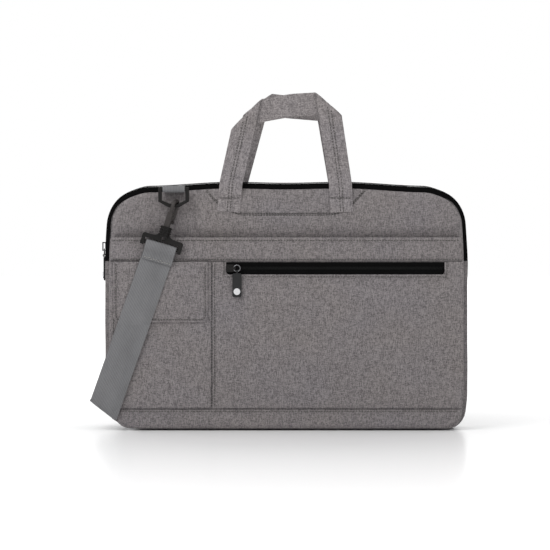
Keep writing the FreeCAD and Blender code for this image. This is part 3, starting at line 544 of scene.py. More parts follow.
def pillow(name, outline, front, back, slot, step, roll, drop, shape, breaks_x=(), breaks_z=(), warp=lean):
    """Padded plate: a front and a back surface over an outline, meeting at a rounded rim.

    front and back are Y values. shape(x, z, depth) gives how far the front stands out, and the rim
    turns back by drop over the width roll.
    """
    side = 1.0 if front > back else -1.0
    z = stations(outline.bottom, outline.top, step, breaks_z)
    share = stations(outline.left, outline.right, step, breaks_x) - outline.left
    share = share / (outline.right - outline.left)
    left, right = outline.span(z)
    x = left[:, None] + (right - left)[:, None] * share[None, :]
    zz = np.repeat(z[:, None], len(share), 1)
    depth = outline.depth(x, zz)
    fullness = 1 - edge_roll(depth, roll)
    rim = side * min(drop, abs(front - back) * 0.8) * (1 - fullness)
    face_y = front + side * shape(x, zz, depth) * np.clip(depth / roll, 0, 1) - rim
    face = np.stack([x, face_y, zz], -1)
    rear = np.stack([x, np.full_like(x, back), zz], -1)
    return loft(name, face, rear, np.stack([x, zz], -1), slot, warp=warp)


def travelled(points):
    """Length of a line from its first point to each of its points."""
    return np.concatenate([[0], np.cumsum(np.linalg.norm(np.diff(points, axis=0), axis=1))])


def at_lengths(places, travel, values):
    """What values (n, 3) along a line are at the lengths in places."""
    return np.stack([np.interp(places, travel, values[:, k]) for k in range(3)], -1)


RIBBON_COLUMNS = 9


def ribbon(name, left, right, wall):
    """Flat webbing between two edge lines (n, 3), with rounded edges and an even wall."""
    across = right - left
    centre = (left + right) / 2
    normal = np.cross(across, np.gradient(centre, axis=0))
    normal /= np.linalg.norm(normal, axis=1)[:, None]
    share = (1 - np.cos(np.linspace(0, math.pi, RIBBON_COLUMNS))) / 2
    swell = 1 - np.abs(2 * share - 1) ** 6
    stand = normal[:, None] * (wall / 2 * (0.35 + 0.65 * swell))[None, :, None]
    middle = left[:, None] + across[:, None] * share[None, :, None]
    u = np.repeat(travelled(centre)[:, None], RIBBON_COLUMNS, 1)
    v = (share - 0.5)[None, :] * np.linalg.norm(across, axis=1)[:, None]
    return loft(name, middle + stand, middle - stand, np.stack([u, v], -1), "webbing")


def rounded_path(corners, radii, step):
    """Points along straight runs joined by arcs. corners are (x, z); radii belong to the inner ones."""
    corners = np.array(corners, float)
    points = [corners[:1]]
    for place, radius in zip(range(1, len(corners) - 1), radii):
        before = corners[place - 1] - corners[place]
        after = corners[place + 1] - corners[place]
        before /= np.linalg.norm(before)
        after /= np.linalg.norm(after)
        half = math.acos(float(np.clip(before @ after, -1, 1))) / 2
        cut = radius / math.tan(half)
        bisector = (before + after) / np.linalg.norm(before + after)
        centre = corners[place] + bisector * radius / math.sin(half)
        count = max(3, int(radius * (math.pi - 2 * half) / step))
        start = corners[place] + before * cut - centre
        turn = math.pi - 2 * half
        sign = 1.0 if before[0] * after[1] - before[1] * after[0] < 0 else -1.0
        angle = np.linspace(0, turn, count) * sign
        arc = np.stack([start[0] * np.cos(angle) - start[1] * np.sin(angle),
                        start[0] * np.sin(angle) + start[1] * np.cos(angle)], -1) + centre
        points += [straight(points[-1][-1], arc[0], step)[1:-1], arc]
    points.append(straight(points[-1][-1], corners[-1], step)[1:])
    return np.concatenate(points)


def straight(start, end, step):
    """Evenly spaced points from start to end."""
    start, end = np.asarray(start, float), np.asarray(end, float)
    count = max(2, int(round(np.linalg.norm(end - start) / step)) + 1)
    return start + (end - start) * np.linspace(0, 1, count)[:, None]


def path_normals(points):
    """Unit normals on the left of a path in the plane."""
    along = np.gradient(points, axis=0)
    along /= np.linalg.norm(along, axis=1)[:, None]
    return np.stack([-along[:, 1], along[:, 0]], -1)


def even_spacing(points, step):
    """The same line with points a step apart, as (points, unit tangents)."""
    points = np.asarray(points, float)
    travel = travelled(points)
    places = np.arange(step / 2, travel[-1], step)
    along = at_lengths(places + step / 4, travel, points) - at_lengths(places - step / 4, travel, points)
    return at_lengths(places, travel, points), along / np.linalg.norm(along, axis=1)[:, None]


# share of a bead's length that its barrel takes up between the pointed ends
BARREL_SHARE = 0.6


def beads(name, centres, along, out, size, slot, paint, body, sides=6):
    """Many small capsules: each a six-sided barrel with pointed ends, lying along its own direction.

    size is (half length, half width, half height), and out is the direction that stands up.
    """
    centres, along = np.asarray(centres, float), np.asarray(along, float)
    out = np.broadcast_to(np.asarray(out, float), centres.shape)
    side = np.cross(along, out)
    side /= np.linalg.norm(side, axis=1)[:, None]
    stand = np.cross(side, along)
    angle = np.linspace(0, 2 * math.pi, sides, endpoint=False)
    ring = np.stack([np.cos(angle), np.sin(angle)], -1)
    rings = []
    for place in (-BARREL_SHARE, BARREL_SHARE):
        point = (centres + along * place * size[0])[:, None]
        point = point + side[:, None] * (ring[:, 0] * size[1])[None, :, None]
        rings.append(point + stand[:, None] * (ring[:, 1] * size[2])[None, :, None])
    tips = [(centres - along * size[0])[:, None], (centres + along * size[0])[:, None]]
    points = np.concatenate([tips[0], rings[0], rings[1], tips[1]], 1)
    block = points.shape[1]
    k = np.arange(sides)
    n = (k + 1) % sides
    zero = np.zeros(sides, int)
    start = np.stack([zero, 1 + n, 1 + k], -1)
    end = np.stack([zero + block - 1, 1 + sides + k, 1 + sides + n], -1)
    wall = np.stack([1 + k, 1 + n, 1 + sides + n, 1 + sides + k], -1)
    shift = (np.arange(len(centres)) * block)[:, None, None]
    tris = np.concatenate([start, end])[None] + shift
    quad = wall[None] + shift
    faces = tris.reshape(-1, 3).tolist() + quad.reshape(-1, 4).tolist()
    loops = np.zeros((tris.size + quad.size, 2))
    item = finish_mesh(name, points.reshape(-1, 3), faces, loops, slot, paint)
    outward(item)
    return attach(item, body) if body else item


# distance between stitches as a share of their length, height over the cloth, half width and height
STITCH_PITCH = 1.25
STITCH_LIFT = 0.00035
STITCH_HALF = (0.00042, 0.0004)


def stitch_line(points, out):
    """Centres and directions of the stitches along a line that lies on the cloth."""
    centres, along = even_spacing(points, webbing_settings().stitch * STITCH_PITCH)
    return centres + np.asarray(out) * STITCH_LIFT, along


def stitches(name, lines, out, body, slot="heather_fabric", paint="stitch", warp=None):
    """Rows of stitches joined into one piece."""
    rows = [stitch_line(points, out) for points in lines]
    centres = np.concatenate([row[0] for row in rows])
    centres = warp(centres) if warp else centres
    along = np.concatenate([row[1] for row in rows])
    size = (webbing_settings().stitch / 2, *STITCH_HALF)
    return beads(name, centres, along, out, size, slot, paint, body)


# ---------------------------------------------------------------- the pieces

def panel_outline():
    """Outline of the front or rear panel."""
    radii = [TOP_RADIUS - INSET, TOP_RADIUS - INSET, STRAP_CORNER_RADIUS - INSET, BASE_RADIUS - INSET]
    return Outline(PANEL_LEFT, PANEL_RIGHT, PANEL_FOOT, PANEL_TOP, radii)


_, _, BAND_FOOT, BAND_TOP = extent("pocket_top_band")
_, _, _, BASE_TOP = extent("pocket_base_band")
SEAM_X, _, _, _ = extent("zip_pocket_panel")
ZIP_WINDOW = extent("pocket_zip_tape_lower", "pocket_zip_tape_upper")
# corner radius where two pieces meet in a seam
SHARP = 0.0005
# valley that the patch's seam presses into the panel
PATCH_DEPTH = 0.0019
PATCH_WIDTH = 0.0015
# half the distance between the patch's two rows of stitches
PATCH_ROW = 0.0011
# how far the front panel reaches past its shell on each side
PANEL_OVERHANG = 0.0011
# curved seam that holds the handles' reinforcement to the front panel: (x, z)
PATCH_SEAM = ((-0.0902, 0.2705), (-0.0801, 0.2587), (-0.0722, 0.2514), (-0.0599, 0.2458), (-0.051, 0.243),
              (0.0498, 0.243), (0.0633, 0.2464), (0.0722, 0.253), (0.080, 0.261), (0.089, 0.2716))


def patch_line(step=0.002):
    """The handle patch's seam as (x, z) points."""
    return rounded_path(np.array(PATCH_SEAM), [0.012] * (len(PATCH_SEAM) - 2), step)


def patch_groove(x, z):
    """Valley along the handle patch's seam: a bell curve of the distance to its line."""
    seam = patch_line(0.003)
    near = z > 0.236
    gap = np.full(np.shape(x), 1.0)
    spots = np.stack([x[near], z[near]], -1)
    gap[near] = np.linalg.norm(spots[:, None] - seam[None], axis=2).min(1)
    return PATCH_DEPTH * np.exp(-(gap / PATCH_WIDTH) ** 2)


# how far the panel lies back behind the pockets
BEHIND_POCKETS = 0.0006


def front_swell(x, z, depth):
    """Foam behind the front panel: full above the pockets, flat behind them."""
    cloth = cloth_settings()
    upper = ease(z, BAND_TOP - 0.006, BAND_TOP + 0.014)
    crown = cloth.puff * (1 - np.exp(-depth / 0.012))
    soft = wrinkles(x, z, SEED) * 1.5 - patch_groove(x, z)
    return upper * (crown + soft) - BEHIND_POCKETS * (1 - upper)


def front_outline():
    """The front panel reaches a little past its shell on both sides."""
    outline = panel_outline()
    outline.left -= PANEL_OVERHANG
    outline.right += PANEL_OVERHANG
    return outline


def patch_stitches(name, side, face, outline, swell, body):
    """Two rows of stitches that hold the handles' patch to a panel."""
    line = patch_line()
    rows = []
    for lift in (-PATCH_ROW, PATCH_ROW):
        x, z = line[:, 0], line[:, 1] + lift
        rows.append(np.stack([x, side * (face + swell(x, z, outline.depth(x, z))), z], -1))
    stitches(name, rows, (0, side, 0), body, warp=lean)


def front_panel():
    """Padded front panel with the handles' patch sewn to it."""
    outline = front_outline()
    item = pillow("front_panel", outline, FACE, float(high("lining_front")[1]) - 0.0002,
                  "heather_fabric", 0.003, roll=0.006, drop=0.0045, shape=front_swell,
                  breaks_x=np.arange(-0.09, 0.0905, 0.009), breaks_z=np.arange(0.2415, 0.2715, 0.006))
    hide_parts("shell_front", "foam_front", "lining_front")
    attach(item, "bag")
    patch_stitches("front_patch_stitches", -1.0, -FACE, outline, front_swell, "bag")


def rear_panel():
    """Padded rear panel, pressed in where the rear hook lies on it."""
    outline = panel_outline()
    barrel, way = joint_place("rear_hook_turn")
    pressed = barrel + way / np.linalg.norm(way) * 0.022

    def swell(x, z, depth):
        crown = 0.6 * cloth_settings().puff * (1 - np.exp(-depth / 0.014))
        dent = 0.0018 * np.exp(-((x - pressed[0]) ** 2 + (z - pressed[2]) ** 2) / 0.026 ** 2)
        return crown + wrinkles(x, z, SEED + 9) * 1.4 - patch_groove(x, z) - dent

    rest = float(low("lining_rear_lower")[1]) + 0.0002
    item = pillow("rear_panel", outline, REAR_FACE, rest, "heather_fabric", 0.004,
                  roll=0.006, drop=0.0045, shape=swell, breaks_x=np.arange(-0.09, 0.0905, 0.012),
                  breaks_z=(ZIP_END, *np.arange(0.2415, 0.2715, 0.006)))
    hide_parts("shell_rear_lower", "shell_rear_upper", "foam_rear_lower", "foam_rear_upper",
                "lining_rear_lower", "lining_rear_upper")
    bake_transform(item)
    patch_stitches("rear_patch_stitches", 1.0, REAR_FACE, outline, swell, "mouth")


def gusset_profile(front, back, tuck):
    """(y, share of the bulge, inward tuck) across a wall that is sewn in beside both panels."""
    y = np.linspace(front, back, 41)
    half = max(abs(front), abs(back))
    return y, np.cos(math.pi * y / (2 * half)), tuck * ease(np.abs(y), 0.0185, 0.0255)


def gusset_skin(name, path, profile, bulge, wall, slot, paint, seed, wave):
    """Cloth wall carried along the bag's outline: outer skin, rims and inner skin in one ring.

    It bulges by a cosine across its width where the outline is upright, and lies flat underneath.
    """
    y, swell, tuck = profile
    normal = path_normals(path)
    upright = ease(np.abs(normal[:, 0]), 0.35, 0.98)
    s, t = np.meshgrid(travelled(path), y, indexing="ij")
    push = bulge * upright[:, None] * swell[None, :] - tuck[None, :]
    push = push + lattice_noise(s, t, 0.03, seed) * wave * (0.3 + 0.7 * upright[:, None])

    def skin(reach):
        place = path[:, None] + normal[:, None] * reach[..., None]
        return np.stack([place[..., 0], t, place[..., 1]], -1)

    return loft(name, skin(push), skin(push - wall), np.stack([s, t], -1), slot, paint, lean)


def lower_path():
    """The bag's outline below the zip, as (x, z) points."""
    corners = [(-HALF_WIDTH, ZIP_END), (-HALF_WIDTH, 0), (HALF_WIDTH, 0), (HALF_WIDTH, ZIP_END)]
    return rounded_path(corners, [STRAP_CORNER_RADIUS, BASE_RADIUS], 0.004)[::-1]


def upper_path():
    """The bag's outline along the zip, as (x, z) points."""
    corners = [(-HALF_WIDTH, ZIP_END), (-HALF_WIDTH, HEIGHT), (HALF_WIDTH, HEIGHT), (HALF_WIDTH, ZIP_END)]
    return rounded_path(corners, [TOP_RADIUS] * 2, 0.004)


def gussets():
    """Cloth wall below the zip, and the zip's tape sewn in above it."""
    depth = REAR_FACE - 0.002
    # The cloth wall below the zip takes the darker cloth, painted shade.
    lower = gusset_skin("lower_gusset", lower_path(), gusset_profile(-depth, depth, tuck=0.0075),
                        bulge=0.0008, wall=0.0018, slot="heather_fabric", paint="gusset_cloth",
                        seed=SEED + 3, wave=0.0004)
    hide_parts("gusset_lower")
    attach(lower, "bag")
    gap = float(high("front_zip_coil")[1]) - 0.0012
    for name, start, end, body in (("front", -depth, gap, "bag"), ("rear", -gap, depth, "mouth")):
        tape = gusset_skin(f"{name}_zip_cloth", upper_path(), gusset_profile(start, end, tuck=0.005),
                           bulge=0.0012, wall=0.0012, slot="zip_tape", paint=None, seed=SEED + 4,
                           wave=0.0003)
        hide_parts(f"{name}_zip_tape")
        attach(tape, body)


# the main zip's teeth: their length, and how far each row stands beside the middle line
TOOTH_LENGTH = 0.0026
TOOTH_ASIDE = 0.0008


def zip_teeth(name, path, normal, side, body, node):
    """Teeth of one half of the main zip: small barrels across the zip's middle line."""
    teeth = zip_settings()
    travel = travelled(path)
    places = np.arange(teeth.pitch / 2 + (teeth.pitch / 2 if side > 0 else 0), travel[-1], teeth.pitch)
    across = np.broadcast_to(np.array([0, 1.0, 0]), (len(places), 3))
    centres = at_lengths(places, travel, path) + across * side * TOOTH_ASIDE
    size = (TOOTH_LENGTH / 2, teeth.tooth, teeth.tooth * 1.3)
    out = at_lengths(places, travel, normal)
    item = beads(name, centres, across * side, out, size, "zip_coil", "zip_coil", body)
    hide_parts(node)


def main_zip_teeth():
    path = upper_path()
    turned = path_normals(path)
    points = lean(np.stack([path[:, 0], np.zeros(len(path)), path[:, 1]], -1))
    normal = np.stack([turned[:, 0], np.zeros(len(path)), turned[:, 1]], -1)
    points = points + normal * 0.0008
    for name, side, body in (("front", -1.0, "bag"), ("rear", 1.0, "mouth")):
        shifted = points + np.array([0, side * 0.0006, 0])
        zip_teeth(f"{name}_zip_teeth", shifted, normal, side, body, f"{name}_zip_coil")


def pocket_swell(seed, amount):
    """Shape of a filled flat pocket: full in the middle, drawn in at its seams."""
    def shape(x, z, depth):
        return amount * (1 - np.exp(-depth / 0.016)) + wrinkles(x, z, seed)
    return shape


def pockets():
    """The front pockets' plates: both fronts, the base band and the slip pocket's top."""
    back = POCKET_FACE + 0.0014
    flap_side = Outline(PANEL_LEFT, SEAM_X, BASE_TOP, BAND_FOOT, [SHARP, SHARP, 0.012, SHARP])
    item = pillow("flap_pocket_front", flap_side, POCKET_FACE, back, "heather_fabric", 0.0035, roll=0.0022,
                  drop=0.001, shape=pocket_swell(SEED + 20, 0.0002))
    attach(item, "bag")
    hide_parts("flap_pocket_panel", "pocket_seam_web")
    window = ZIP_WINDOW

    def zip_side(x, z, depth):
        full = pocket_swell(SEED + 30, 0.0012)(x, z, depth)
        inside = np.minimum(np.minimum(x - window[0], window[1] - x),
                            np.minimum(z - window[2], window[3] - z))
        flat = ease(-inside, 0.0, 0.03)
        return full * flat - 0.0011 * ease(inside, -0.0004, 0.0004)

    big = Outline(SEAM_X, PANEL_RIGHT, BASE_TOP, BAND_FOOT, [SHARP] * 4)
    item = pillow("zip_pocket_front", big, POCKET_FACE, back + 0.0006, "heather_fabric", 0.0035,
                  breaks_x=window[:2], breaks_z=window[2:], roll=0.0022, drop=0.001, shape=zip_side)
    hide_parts("zip_pocket_panel")
    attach(item, "bag")
    base_radii = [SHARP, SHARP, 0.022, BASE_RADIUS - INSET]
    base = Outline(PANEL_LEFT, PANEL_RIGHT, PANEL_FOOT, BASE_TOP, base_radii)
    item = pillow("base_band", base, POCKET_FACE, FACE, "heather_fabric", 0.0035, roll=0.0045, drop=0.004,
                  shape=pocket_swell(SEED + 40, 0.0006))
    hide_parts("pocket_base_band")
    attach(item, "bag")
    top_band = Outline(PANEL_LEFT, PANEL_RIGHT, BAND_FOOT, BAND_TOP, [0.003, 0.003, SHARP, SHARP])
    band_back = float(high("pocket_top_band")[1]) - 0.0004
    item = pillow("slip_pocket_band", top_band, POCKET_FACE, band_back, "heather_fabric", 0.0035,
                  roll=0.003, drop=0.0022, shape=pocket_swell(SEED + 50, 0.0005))
    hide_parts("pocket_top_band")
    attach(item, "bag")


def pocket_sides():
    """Soft pleats that close both ends of the front pockets.

    Each is a wall whose section runs from the pocket's face back to the panel and dips inwards by a
    sine in the middle, carried up the pocket's height.
    """
    for side, name in ((-1.0, "left"), (1.0, "right")):
        edge = PANEL_RIGHT - 0.0004
        z = np.linspace(PANEL_FOOT + 0.03, BAND_TOP - 0.001, 60)
        share = np.linspace(0, 1, 13)
        y = POCKET_FACE + 0.0006 + (FACE - POCKET_FACE - 0.0002) * share
        dip = 0.0022 * np.sin(math.pi * share)
        wave = lattice_noise(z[:, None], share[None, :] * 0.02, 0.03, SEED + 5) * 0.0004
        out = edge - dip[None, :] - wave
        zz = np.repeat(z[:, None], len(share), 1)
        yy = np.broadcast_to(y, zz.shape)
        outer = np.stack([side * out, yy, zz], -1)
        inner = np.stack([side * (out - 0.0012), yy, zz], -1)
        # The pleats take the darker side-wall cloth, painted shade.
        item = loft(f"pocket_side_{name}", outer, inner, np.stack([yy, zz], -1), "heather_fabric",
                    "gusset_cloth", lean)
        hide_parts(f"pocket_edge_{name}", f"slip_pocket_edge_{name}")
        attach(item, "bag")


def seam_points(start, end, lift=0.0):
    """Line on the pocket's front between two (x, z) points."""
    y = POCKET_FACE - 0.0002 - lift
    return straight((start[0], y, start[1]), (end[0], y, end[1]), 0.004)


def seam_stitches():
    """Stitching that shows on the front: seams, the zip's frame and the slip pocket's hem, and a near-black row of
    stitches along the pockets' seam as painted shade.
    """
    left, right = PANEL_LEFT + 0.003, PANEL_RIGHT - 0.003
    frame_gap = 0.0026
    hem, band_seam, base_seam = BAND_TOP - 0.0032, BAND_FOOT + 0.0023, BASE_TOP - 0.0026
    x0, x1 = ZIP_WINDOW[0] - frame_gap, ZIP_WINDOW[1] + frame_gap
    z0, z1 = ZIP_WINDOW[2] - frame_gap, ZIP_WINDOW[3] + frame_gap * 0.4
    outer, inner = left + 0.0016, SEAM_X + 0.0032
    lines = [
        seam_points((left, hem), (right, hem), 0.0004),
        seam_points((left, band_seam), (right, band_seam), 0.0004),
        seam_points((left + 0.006, base_seam), (right, base_seam), 0.0006),
        seam_points((x0, z0), (x1, z0), 0.0006),
        seam_points((x0, z1), (x0, z0)),
        seam_points((x1, z1), (x1, z0)),
        seam_points((outer, BASE_TOP + 0.004), (outer, BAND_FOOT - 0.002)),
        seam_points((inner, BAND_FOOT - 0.003), (inner, BASE_TOP + 0.002)),
    ]
    stitches("front_stitches", lines, (0, -1, 0), "bag", warp=lean)
    # Near-black stitches down the seam between the two pocket fronts stand in for the seam's shadow line: painted
    # shade.
    valley = [seam_points((SEAM_X, BAND_FOOT - 0.001), (SEAM_X, BASE_TOP + 0.001))]
    stitches("pocket_seam_thread", valley, (0, -1, 0), "bag", paint="black_thread", warp=lean)


def flap_piece():
    """The small pocket's flap and the row of stitches round its hem."""
    left, right, foot, top = extent("flap")
    front, back = float(low("flap")[1]), float(high("flap")[1])
    hem = 0.0032

    def shape(x, z, depth):
        groove = 0.0005 * np.exp(-((depth - hem) / 0.0012) ** 2)
        return wrinkles(x, z, SEED + 60) * 0.35 - groove

    outline = Outline(left, right, foot, top, [SHARP, SHARP, 0.007, 0.007])
    item = pillow("pocket_flap", outline, front, back, "heather_fabric", 0.0022, roll=0.0012, drop=0.0011,
                  shape=shape, warp=None)
    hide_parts("flap")
    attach(item, "pocket_flap")
    corners = [(left + hem, top - 0.002), (left + hem, foot + hem), (right - hem, foot + hem),
               (right - hem, top - 0.002)]
    line = rounded_path(corners, [0.004, 0.004], 0.002)
    line = np.stack([line[:, 0], np.full(len(line), front), line[:, 1]], -1)
    stitches("flap_stitches", [line], (0, -1, 0), "pocket_flap")


def pocket_zip():
    """Black tape in the pocket's window and its two rows of teeth."""
    y = float(low("pocket_zip_tape_lower")[1]) - 0.0004
    outline = Outline(*ZIP_WINDOW, [0.0008, 0.0008, 0.004, 0.004])
    middle = (outline.bottom + outline.top) / 2

    def shape(x, z, depth):
        return 0.0004 * ease(np.abs(z - middle), 0.0006, 0.0022)

    tape = pillow("pocket_zip_tape", outline, y, y + 0.0012, "zip_tape", 0.002, roll=0.0006, drop=0.0004,
                  shape=shape, warp=None)
    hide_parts("pocket_zip_tape_upper", "pocket_zip_tape_lower")
    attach(tape, "bag")
    front = y - 0.0003
    centre = straight((outline.left + 0.002, front, middle), (outline.right - 0.002, front, middle), 0.01)
    teeth = zip_settings()
    rows = [even_spacing(centre + np.array([side * teeth.pitch / 4, 0, side * 0.0007]), teeth.pitch)[0]
            for side in (-1.0, 1.0)]
    centres = np.concatenate(rows)
    along = np.tile([0.25, 0, 1.0], (len(centres), 1))
    along /= np.linalg.norm(along, axis=1)[:, None]
    size = (0.0014, teeth.tooth, teeth.tooth)
    item = beads("pocket_zip_teeth", centres, along, (0, -1.0, 0), size, "zip_coil", "zip_coil", "bag")
    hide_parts("pocket_zip_coil")


# ---- handles: one flat strip, folded at the two corners ----

def reflect(points, on, way):
    """Mirror image of (x, z) points in the line through on along the unit direction way."""
    offset = points - on
    along = (offset @ way)[..., None] * way
    return on + 2 * along - offset


def fold(points, lift, on, beyond, radius):
    """Fold a flat sheet about a line, towards its back.

    points (..., 2) and lift give the sheet, and on is a point of the line. The part on the side that
    the unit vector beyond points to goes round a half circle and comes back mirrored, two radii behind.
    """
    reach = (points - on) @ beyond
    turn = np.clip(reach / radius, 0, math.pi)
    past = np.clip(reach - math.pi * radius, 0, None)
    bent = radius * np.sin(turn) - past
    moved = points + beyond * np.where(reach <= 0, 0, bent - reach + lift * np.sin(turn))[..., None]
    sunk = np.where(reach <= 0, lift, lift * np.cos(turn) - radius * (1 - np.cos(turn)))
    return moved, sunk


# each handle seen from the front, as (x, z): feet, knees, middle of the grip and both creases
HANDLE_SHAPES = {
    "front": {
        "feet": ((-0.0650, 0.2455), (0.0622, 0.2455)), "knees": ((-0.0622, 0.2778), (0.0604, 0.2778)),
        "grip": (0.0063, 0.3655),
        "creases": (((-0.0600, 0.3410), (-0.0297, 0.3714)), ((0.0323, 0.3808), (0.0619, 0.3550)))},
    "rear": {
        "feet": ((-0.0600, 0.2455), (0.0625, 0.2455)), "knees": ((-0.0570, 0.2778), (0.0612, 0.2778)),
        "grip": (0.0050, 0.3645),
        "creases": (((-0.0475, 0.3575), (-0.0170, 0.3800)), ((0.0335, 0.3735), (0.0605, 0.3485)))},
}


HANDLE_WALL = 0.0022
# how far the strip's middle stands outside its hinge line, and how far a handle leans in above it
HANDLE_STAND = 0.0024
HANDLE_LEAN = math.radians(4.0)
# half the distance between the two rows of stitches along a handle
HANDLE_ROW = 0.0023


def handle_sheet(shape, wide, radius, step):
    """Unfolded strip of one handle, as a grid of (x, z), and its two folds, the far one first.

    The path runs foot, knee, crease, grip, crease, knee, foot. What lies past a crease is mirrored in
    it, so that folding the sheet back there puts the path where it is seen.
    """
    creases = [np.array(crease_ends) for crease_ends in shape["creases"]]
    ways = [(ends[1] - ends[0]) / np.linalg.norm(ends[1] - ends[0]) for ends in creases]
    on_a, on_b = creases[0].mean(0), creases[1].mean(0)
    way_a, way_b = ways
    knee_a, knee_b = np.array(shape["knees"])
    foot_a, foot_b = np.array(shape["feet"])

    def across_line(way, leaving):
        normal = np.array([-way[1], way[0]])
        return normal * np.sign(normal @ leaving)

    beyond_a = across_line(way_a, on_a - knee_a)
    flat_b = reflect(on_b, on_a, way_a)
    flat_grip = reflect(np.array(shape["grip"]), on_a, way_a)
    flat_way = reflect(on_b + way_b, on_a, way_a) - flat_b
    beyond_b = across_line(flat_way, flat_b - flat_grip)
    flat_knee, flat_foot = (reflect(reflect(point, on_b, way_b), on_a, way_a) for point in (knee_b, foot_b))
    back = radius + HANDLE_WALL / 2
    middle = rounded_path([foot_a, knee_a, on_a, flat_grip, flat_b, flat_knee, flat_foot],
                          [0.05, 0.03, 0.06, 0.03, 0.05], step)
    side = path_normals(middle)
    share = (1 - np.cos(np.linspace(0, math.pi, 25))) / 2 - 0.5
    sheet = middle[:, None] - side[:, None] * (share * wide)[None, :, None]
    far = (flat_b - beyond_b * back, beyond_b)
    near = (on_a - beyond_a * back, beyond_a)
    return sheet, share * wide, far, near


def handle(name, side, feet_body, body, node, ends):
    """Cloth handle from sewn foot to sewn foot, folded at the corners, blended at its hinge line."""
    wide, radius, wall = 0.0256, 0.0016, HANDLE_WALL
    sheet, across, far, near = handle_sheet(HANDLE_SHAPES[name], wide, radius, 0.0011)
    travel = travelled(sheet[:, 12])
    swell = 1 - np.abs(2 * across / wide) ** 5
    groove = 0.0005 * np.exp(-((np.abs(across) - HANDLE_ROW) / 0.0008) ** 2)
    half = wall / 2 * (0.4 + 0.6 * swell) - groove
    layers = []
    for sign in (1.0, -1.0):
        lift = np.broadcast_to(sign * half, sheet.shape[:2]).copy()
        flat, lift = fold(sheet.copy(), lift, *far, radius)
        layers.append(fold(flat, lift, *near, radius))
    _, base, hinge_z = (abs(float(part)) for part in JOINTS[body + "_fold"]["pos_m"])

    def place(layer):
        flat, lift = layer
        x, z = flat[..., 0], flat[..., 1]
        rise = np.clip(z - hinge_z, 0, None)
        inward = rise * math.tan(HANDLE_LEAN) * ease(z, hinge_z, hinge_z + 0.03)
        wave = 0.0011 * np.sin(z * 41.0 + x * 23.0) * ease(z, 0.285, 0.33)
        pinch = 0.0012 * (1 - ease(np.abs(z - hinge_z), 0.0004, 0.004))
        sewn = 0.0008 * (1 - ease(z, hinge_z - 0.002, hinge_z + 0.001))
        return np.stack([x, side * (base + HANDLE_STAND - inward + lift + wave - pinch - sewn), z], -1)

    front, back = place(layers[0]), place(layers[1])
    u = np.repeat(travel[:, None], len(across), 1)
    uv = np.stack([np.broadcast_to(across, u.shape), u], -1)
    item = loft(name + "_handle_strip", front, back, uv, "handle_webbing")
    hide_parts(node, ends)
    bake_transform(item)
    lines = []
    for offset in (-HANDLE_ROW, HANDLE_ROW):
        column = int(np.argmin(np.abs(across - offset)))
        outside = layers[0][1][:, column] > 0
        turn = int(np.argmin(outside))
        last = len(outside) - int(np.argmin(outside[::-1]))
        lines += [front[:turn - 3, column], front[last + 3:, column]]
    seams = stitches(name + "_handle_stitches", lines, (0, side, 0), None, "handle_webbing")
    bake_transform(seams)
    foot_lines = []
    for start, knee in zip(HANDLE_SHAPES[name]["feet"], HANDLE_SHAPES[name]["knees"]):
        middle = start[0] + (knee[0] - start[0]) * (hinge_z - start[1]) / (knee[1] - start[1])
        y = side * (base + HANDLE_STAND + wall / 2 - 0.0014)
        left, right = middle - wide / 2 + 0.001, middle + wide / 2 - 0.001
        foot_lines.append(straight((left, y, hinge_z), (right, y, hinge_z), 0.002))
    stitches(name + "_handle_foot_stitches", foot_lines, (0, side, 0), feet_body, "handle_webbing")


def handles():
    """Front handle on the bag, rear handle on the part that opens."""
    handle("front", -1.0, "bag", "front_handle", "handle_front", "handle_ends_front")
    handle("rear", 1.0, "mouth", "rear_handle", "handle_rear", "handle_ends_rear")


# ---- shoulder strap ----

STRAP_HALF = 0.0175
# fold line at the bag's lower left corner: middle (x, z), slope and half length
FOLD_CENTRE = np.array([-0.2062, 0.023])
FOLD_ANGLE = math.radians(37.5)
FOLD_HALF = 0.0183
BEND_RADIUS = 0.003
# how far the strap slips along the fold line between its two bends
BEND_DRIFT = 0.009
BAR_RADIUS = 0.0022
SPLIT_Z = float(high("strap_front_lower")[2])


def joint_place(name):
    """Position and axis of a joint."""
    return np.array(JOINTS[name]["pos_m"]), np.array(JOINTS[name]["axis"])


def crease(y, outward=0.0, drift=0.0):
    """Two ends of the fold line at the bag's lower left corner."""
    way = np.array([math.cos(FOLD_ANGLE), -math.sin(FOLD_ANGLE)])
    out = np.array([-math.sin(FOLD_ANGLE), -math.cos(FOLD_ANGLE)])
    middle = FOLD_CENTRE + out * outward + way * drift
    ends = [middle - way * FOLD_HALF, middle + way * FOLD_HALF]
    return [np.array([end[0], y, end[1]]) for end in ends]


def bend_edges(front_y, back_y):
    """Both edges of the strap round its two bends and across the corner."""
    radius = BEND_RADIUS
    angle = np.linspace(0, math.pi / 2, 9)
    flat = np.linspace(front_y + radius, back_y - radius, 24)[1:-1]
    y = np.concatenate([front_y + radius - radius * np.cos(angle), flat,
                        back_y - radius + radius * np.sin(angle)])
    out = np.concatenate([-radius + radius * np.sin(angle), np.zeros(len(flat)),
                          -radius + radius * np.cos(angle)])
    drift = BEND_DRIFT * (y - front_y) / (back_y - front_y)
    pairs = [crease(*place) for place in zip(y, out, drift)]
    return np.array([pair[0] for pair in pairs]), np.array([pair[1] for pair in pairs])


